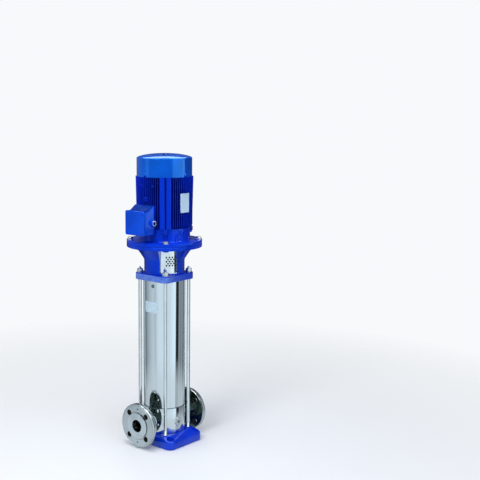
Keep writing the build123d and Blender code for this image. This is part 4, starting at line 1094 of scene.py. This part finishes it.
class PUMP_OT_motor_frame(bpy.types.Operator):
    """Make the finned motor frame with its ridges, box saddle, plate seat and bare plate"""

    bl_idname = "pump.motor_frame"
    bl_label = "Finned motor frame"

    def execute(self, context):
        sizes = context.scene.pump_castings
        section = [(76.9, FRAME_BOTTOM), (88, FRAME_BOTTOM), (88, FRAME_TOP), (76.9, FRAME_TOP)]
        frame_casting = hoop("motor_frame_casting", section, 160)
        combine(frame_casting, repeat("fin_tools", self.fin(sizes), [
            about(90 * bank + 4.5 * (place - (sizes.fins_in_bank - 1) / 2))
            for bank in range(4) for place in range(sizes.fins_in_bank)
        ]))
        bar = block("ridge", (80, -8.5, FRAME_BOTTOM), (FRAME_OUT, 8.5, FRAME_TOP))
        ease(bar, 5.5, 6, lambda a, b: abs(a.z - b.z) > 50 and a.x > 90)
        self.sweep_foot(bar, -4)
        places = [quarter @ at(0, shift) for quarter in quarters() for shift in (-11, 11)]
        combine(frame_casting, repeat("ridge_tools", bar, places))
        floor = block("floor", (79, -10, FRAME_BOTTOM), (92.8, 10, FRAME_TOP))
        combine(frame_casting, repeat("floor_tools", floor, quarters()))
        cut(frame_casting, block("saddle_tool", (-110, -40.1, 750), (-90, 45.1, 834.2)))
        combine(frame_casting, block("saddle", (-90, -40, FRAME_BOTTOM), (-79, 45, 834)))
        pad = block("pad", (-24.5, -95.7, 808), (16.5, -84, 873))
        cut(frame_casting, block("pad_tool", (-25.5, -99, 807), (17.5, -95.7, 874)))
        combine(frame_casting, pad)
        for turn, level, radius in ((170, 899, 3.6), (199, 897, 3.6), (259, 799, 2.6)):
            boss = turned("boss", [(radius, 0), (radius, 9.3), (radius - 0.7, 9.8)], 28)
            combine(frame_casting, move(boss, outwards(turn, 88, level)))
        cup = turned("cup", [(7.5, 0), (7.5, 9), (6.7, 9.8), (4.6, 9.8), (4.2, 8.6), (4.0, 5)], 40)
        combine(frame_casting, move(cup, outwards(183, 88, 854)))
        finish = frame_paint(context.scene.pump_colours)
        seat(frame_casting, finish, stands_for=["motor_frame"], angle=30)

        bare = round_edges(block("motor_plate_bare", (-24.3, -96.6, 808.3), (16.3, -95.75, 872.7)), 0.25, 2)
        edit(bare, "DESELECT")
        pick(bare, "FACE", lambda middle, normal: normal.y < -0.9 and abs(middle.z - 840) < 2)
        bpy.ops.mesh.inset(thickness=2.2 * MM, depth=0)
        bpy.ops.mesh.inset(thickness=0.5 * MM, depth=-0.25 * MM)
        tidy(bare)
        rivet = turned("rivet", [(1.7, 0), (1.6, 0.25), (1.0, 0.34)], 20)
        places = [facing((x, -96.45, z), (0, -1, 0)) for x in (-22.6, 14.6) for z in (810, 871)]
        bare = join("motor_plate_bare", [bare, repeat("rivets", rivet, places)])
        seat(bare, plate_finish(), stands_for=["motor_nameplate"])
        return {"FINISHED"}

    def fin(self, sizes):
        """One fin with draft, a rounded tip and a swept foot."""
        half = sizes.fin_root / 2
        fin = block("fin", (86, -half, FRAME_BOTTOM), (FRAME_OUT, half, FRAME_TOP))
        edit(fin)
        bpy.ops.mesh.bisect(plane_co=(0, 0, (FRAME_BOTTOM + 10) * MM), plane_no=(0, 0, 1))
        pick(fin, "VERT", lambda place: place.x > 90)
        taper = (1, sizes.fin_tip / sizes.fin_root, 1)
        bpy.ops.transform.resize(value=taper, center_override=(FRAME_OUT * MM, 0, 800 * MM))
        self.sweep_foot(fin, -5)
        return ease(fin, 0.8, 2, lambda a, b: a.x > 90 and b.x > 90 and abs(a.z - b.z) > 5)

    def sweep_foot(self, piece, shift):
        """Moves the outer end of a piece's foot in or out."""
        edit(piece, "DESELECT")
        pick(piece, "VERT", lambda place: place.z < FRAME_BOTTOM + 1 and place.x > 90)
        bpy.ops.transform.translate(value=(shift * MM, 0, 0))
        tidy(piece)


class PUMP_OT_fan_cover(bpy.types.Operator):
    """Make the pressed fan cover with its rolled shoulder, slotted inlet and screws"""

    bl_idname = "pump.fan_cover"
    bl_label = "Fan cover"

    def execute(self, context):
        dome = context.scene.pump_castings.cover_dome
        wall = 1.8
        hub, rim = 10, 926.1
        outer = [(COVER_RADIUS, rim), (COVER_RADIUS, COVER_TOP - dome)]
        for radius, share in (
            (94.1, 0.93), (93.3, 0.84), (91.8, 0.76), (89.6, 0.69), (86, 0.61), (80, 0.50), (73, 0.39), (64, 0.285),
            (54, 0.195), (43, 0.12), (31, 0.06), (20, 0.022),
        ):
            outer.append((radius, COVER_TOP - dome * share))
        outer.append((hub, COVER_TOP))
        inner = [(hub, COVER_TOP - wall)]
        for radius, level in reversed(outer[1:-1]):
            inner.append((max(hub, radius * (COVER_RADIUS - wall) / COVER_RADIUS), level - wall))
        inner.append((COVER_RADIUS - wall, rim))
        cover = turned("fan_cover_shell", outer + inner, 192, False)
        edit(cover)
        bpy.ops.mesh.remove_doubles(threshold=0.002 * MM)
        for upper in (True, False):
            pick(cover, "EDGE", lambda a, b: (
                max(a.xy.length, b.xy.length) < 10.5 and abs(a.z - b.z) < 0.01 and (a.z > 1002.5) == upper
            ))
            bpy.ops.mesh.edge_face_add()
        pick(cover, "EDGE", lambda a, b: a.z < 926.5 and b.z < 926.5)
        bpy.ops.mesh.bridge_edge_loops()
        tidy(cover)
        slot = ease(block("slot", (26, -2.4, 990), (60, 2.4, 1008)), 2.3, 4, lambda a, b: abs(a.z - b.z) > 5)
        slots = 18
        cut(cover, repeat("slot_tools", slot, [about(360 * place / slots) for place in range(slots)]))
        notch = peg("notch_tool", 6.5, (85, 0, 926), (100, 0, 926), 32)
        cut(cover, repeat("notch_tools", notch, quarters(0)))
        paint = gloss_paint("cover_paint", context.scene.pump_colours.cover, 0.06, 0.12, 2.3)
        seat(cover, paint, stands_for=["fan_cover"], angle=30)
        head = turned("head", [(4.5, 0), (4.5, 1.2), (3.9, 2.1), (2.4, 2.5)], 28)
        cut(head, block("slot_tool", (-5, -0.5, 1.7), (5, 0.5, 3)))
        shank = peg("shank", 2.5, (0, 0, -6), (0, 0, 0.2), 20)
        screw = move(join("screw", [head, shank]), outwards(0, 94.4, 935))
        screws = repeat("cover_screw_set", screw, quarters(0))
        seat(screws, paint, stands_for=["fan_cover_screws"])
        return {"FINISHED"}


class PUMP_OT_terminal_box(bpy.types.Operator):
    """Make the terminal box with its sloping neck, lid, gasket, screws and cable gland"""

    bl_idname = "pump.terminal_box"
    bl_label = "Terminal box"

    def execute(self, context):
        paint = gloss_paint("box_paint", context.scene.pump_colours.box, 0.1, 0.13)
        box = block("terminal_box_casting", (-138, -40, 737), (-90.1, 45, 817))
        edit(box)
        bpy.ops.mesh.bisect(plane_co=(-122 * MM, 0, 0), plane_no=(1, 0, 0))
        bpy.ops.mesh.select_all(action="SELECT")
        bpy.ops.mesh.bisect(plane_co=(-98 * MM, 0, 0), plane_no=(1, 0, 0))
        pick(box, "VERT", lambda place: place.x > -98.5 and place.z > 800)
        bpy.ops.transform.translate(value=(0, 0, 17 * MM))
        tidy(box)
        round_edges(box, 3.5, 4, 15)
        pocket = block("pocket_tool", (-142, -36, 741), (-98, 41, 813))
        cut(box, round_edges(pocket, 4, 3, 60))
        gland_x, gland_z = -103, 777
        cut(box, peg("gland_tool", 8, (gland_x, -45, gland_z), (gland_x, -28, gland_z), 40))
        seat(box, paint, stands_for=["terminal_box"], angle=28)
        # painted shade: the upward faces of the box's top and neck get a darker, duller paint
        dark = gloss_paint("neck_painted_shade", shade(context.scene.pump_colours.box, 0.32), 0.1, 0.4, 1.15, 0)
        refinish(box, dark, lambda middle, normal: normal.z > 0.3 and middle.z > 790)

        lid = block("terminal_box_cover", (-143, -41, 736), (-139, 46, 818))
        ease(lid, 6, 5, lambda a, b: abs(a.x - b.x) > 2)
        round_edges(lid, 1.6, 4, 60)
        spots = [(y, z) for y in (-32, 37) for z in (745, 809)]
        seats = [peg("seat_tool", 4.8, (-145, y, z), (-142.2, y, z), 28) for y, z in spots]
        cut(lid, join("seat_tools", seats))
        seat(lid, paint, stands_for=["box_lid"], angle=28)

        head = turned("head", [(4, 0), (4, 1.4), (3.4, 2.2), (2, 2.6)], 28)
        for across, up in ((2.2, 0.4), (0.4, 2.2)):
            cut(head, block("cross_tool", (-across, -up, 1.6), (across, up, 4)))
        screw = join("screw", [head, peg("shank", 2.5, (0, 0, -15), (0, 0, 0.2), 20)])
        screws = repeat("box_screw_set", screw, [facing((-142.3, y, z), (-1, 0, 0)) for y, z in spots])
        seat(screws, paint, stands_for=["box_lid_screws"])

        gasket = block("box_seal", (-139, -39, 738), (-138, 44, 816))
        ease(gasket, 5, 4, lambda a, b: abs(a.x - b.x) > 0.5)
        cut(gasket, round_edges(block("middle_tool", (-142, -35.5, 741.5), (-130, 40.5, 812.5)), 4, 3, 60))
        seat(gasket, rubber(), stands_for=["box_gasket"])

        body = hexagon_bar("gland_body", 22, 0, 5, 0.8)
        dome = turned("dome", [(10.4, 5), (10.4, 6.6), (9.9, 8.6), (9.0, 10.2), (7.6, 11)], 48)
        shank = peg("shank", 7.9, (0, 0, -9), (0, 0, 0.2), 40)
        collar = turned("collar", [(9.6, 4.8), (9.6, 5.4)], 48)
        gland = combine(combine(combine(body, dome), shank), collar)
        cut(gland, peg("bore_tool", 6, (0, 0, -12), (0, 0, 14), 40))
        rim = hoop("gland_rim", [(6.1, 9.6), (7.4, 9.6), (8.6, 10.6), (8.4, 11.0), (6.1, 11.0)], 48)
        for piece in (gland, rim):
            move(piece, facing((gland_x, -40, gland_z), (0, -1, 0)))
        seat(gland, paint, stands_for=["cable_gland"])
        seat(rim, screw_steel())
        return {"FINISHED"}


class PUMP_OT_plugs(bpy.types.Operator):
    """Make the vent plug in the head and the drain plug in the body"""

    bl_idname = "pump.plugs"
    bl_label = "Vent and drain plugs"

    def execute(self, context):
        for name, node, turn, reach, level, inner in (
            ("vent_screw", "vent_plug", VENT_TURN, 72.6, VENT_LEVEL, 60.2),
            ("drain_screw", "drain_plug", DRAIN_TURN, 75.6, PORT_LEVEL, 67.2),
        ):
            head = hexagon_bar("head", 19, 3, 12)
            dish = turned("dish_tool", [(5.5, 10.8), (6, 12.5)], 32)
            collar = turned("collar", [(11.3, 0), (12, 0.5), (12, 2.3), (11.2, 3.1)], 48)
            shank = threaded_rod("shank", inner - reach, 0.2, 1.0)
            plug = join(name, [cut(combine(head, collar), dish), shank])
            move(plug, outwards(turn, reach, level))
            seat(plug, dull("plug_steel", (0.28, 0.3, 0.31), 0.28, 1.0), node, [node])
        return {"FINISHED"}


class PUMP_OT_inner_finishes(bpy.types.Operator):
    """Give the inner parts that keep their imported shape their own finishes"""

    bl_idname = "pump.inner_finishes"
    bl_label = "Inner finishes"

    def execute(self, context):
        for finish, nodes in (
            (bright_steel("stage_steel", (0.7, 0.71, 0.73), 0.25, (1, 1, 1), 0.02, 200),
             ("inlet_guide", "stage_casings", "impellers", "outlet_chamber", "seal_gland")),
            (screw_steel(), ("pump_shaft", "motor_shaft", "motor_bearings", "coupling_bolts")),
            (dull("machined_iron", (0.18, 0.185, 0.2), 0.4, 0.8, 0.04, 260),
             ("head_cover", "coupling_half_front", "coupling_half_rear")),
            (dull("lapped_carbon", (0.03, 0.03, 0.035), 0.22, 0.1, 0.01, 500),
             ("seal_turning_ring", "seal_seat_ring")),
            (bright_steel("core_sheets", (0.3, 0.3, 0.31), 0.45, (0.05, 0.05, 1), 0.05, 700),
             ("stator_core", "rotor_core")),
            (dull("varnished_copper", (0.42, 0.13, 0.04), 0.35, 0.6, 0.3, 160), ("end_windings",)),
            (dull("moulded_black", (0.018, 0.018, 0.02), 0.5), ("cooling_fan", "terminal_block")),
            (rubber(), ("sleeve_seals",)),
            (dull("bush_plastic", (0.6, 0.57, 0.48), 0.45), ("shaft_bushes",)),
            (casting_paint(), ("rear_end_shield",)),
        ):
            for node in nodes:
                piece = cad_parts[node]
                piece.data.materials.clear()
                piece.data.materials.append(finish)
        return {"FINISHED"}


STEPS = (
    PUMP_OT_stage, PUMP_OT_base, PUMP_OT_body, PUMP_OT_flanges, PUMP_OT_sleeve, PUMP_OT_tie_rods,
    PUMP_OT_lantern, PUMP_OT_guards, PUMP_OT_end_shield, PUMP_OT_motor_frame, PUMP_OT_fan_cover,
    PUMP_OT_terminal_box, PUMP_OT_plugs, PUMP_OT_inner_finishes,
)


class PUMP_PT_panel(bpy.types.Panel):
    """Lists the pump's sizes, colours and steps"""

    bl_label = "Vertical multistage pump"
    bl_idname = "PUMP_PT_panel"
    bl_space_type = "VIEW_3D"
    bl_region_type = "UI"
    bl_category = "Pump"

    def draw(self, context):
        for group in (context.scene.pump_castings, context.scene.pump_steel, context.scene.pump_colours):
            column = self.layout.column(align=True)
            for key in group.__annotations__:
                column.prop(group, key)
        column = self.layout.column(align=True)
        for step in STEPS:
            column.operator(step.bl_idname)


CLASSES = (PumpCastingSizes, PumpSteelSizes, PumpColours) + STEPS + (PUMP_PT_panel,)


def register():
    for kind in CLASSES:
        bpy.utils.register_class(kind)
    bpy.types.Scene.pump_castings = PointerProperty(type=PumpCastingSizes)
    bpy.types.Scene.pump_steel = PointerProperty(type=PumpSteelSizes)
    bpy.types.Scene.pump_colours = PointerProperty(type=PumpColours)


def unregister():
    del bpy.types.Scene.pump_colours
    del bpy.types.Scene.pump_steel
    del bpy.types.Scene.pump_castings
    for kind in reversed(CLASSES):
        bpy.utils.unregister_class(kind)


def main():
    register()
    for step in STEPS:
        family, name = step.bl_idname.split(".")
        getattr(getattr(bpy.ops, family), name)()


if __name__ == "__main__":
    main()
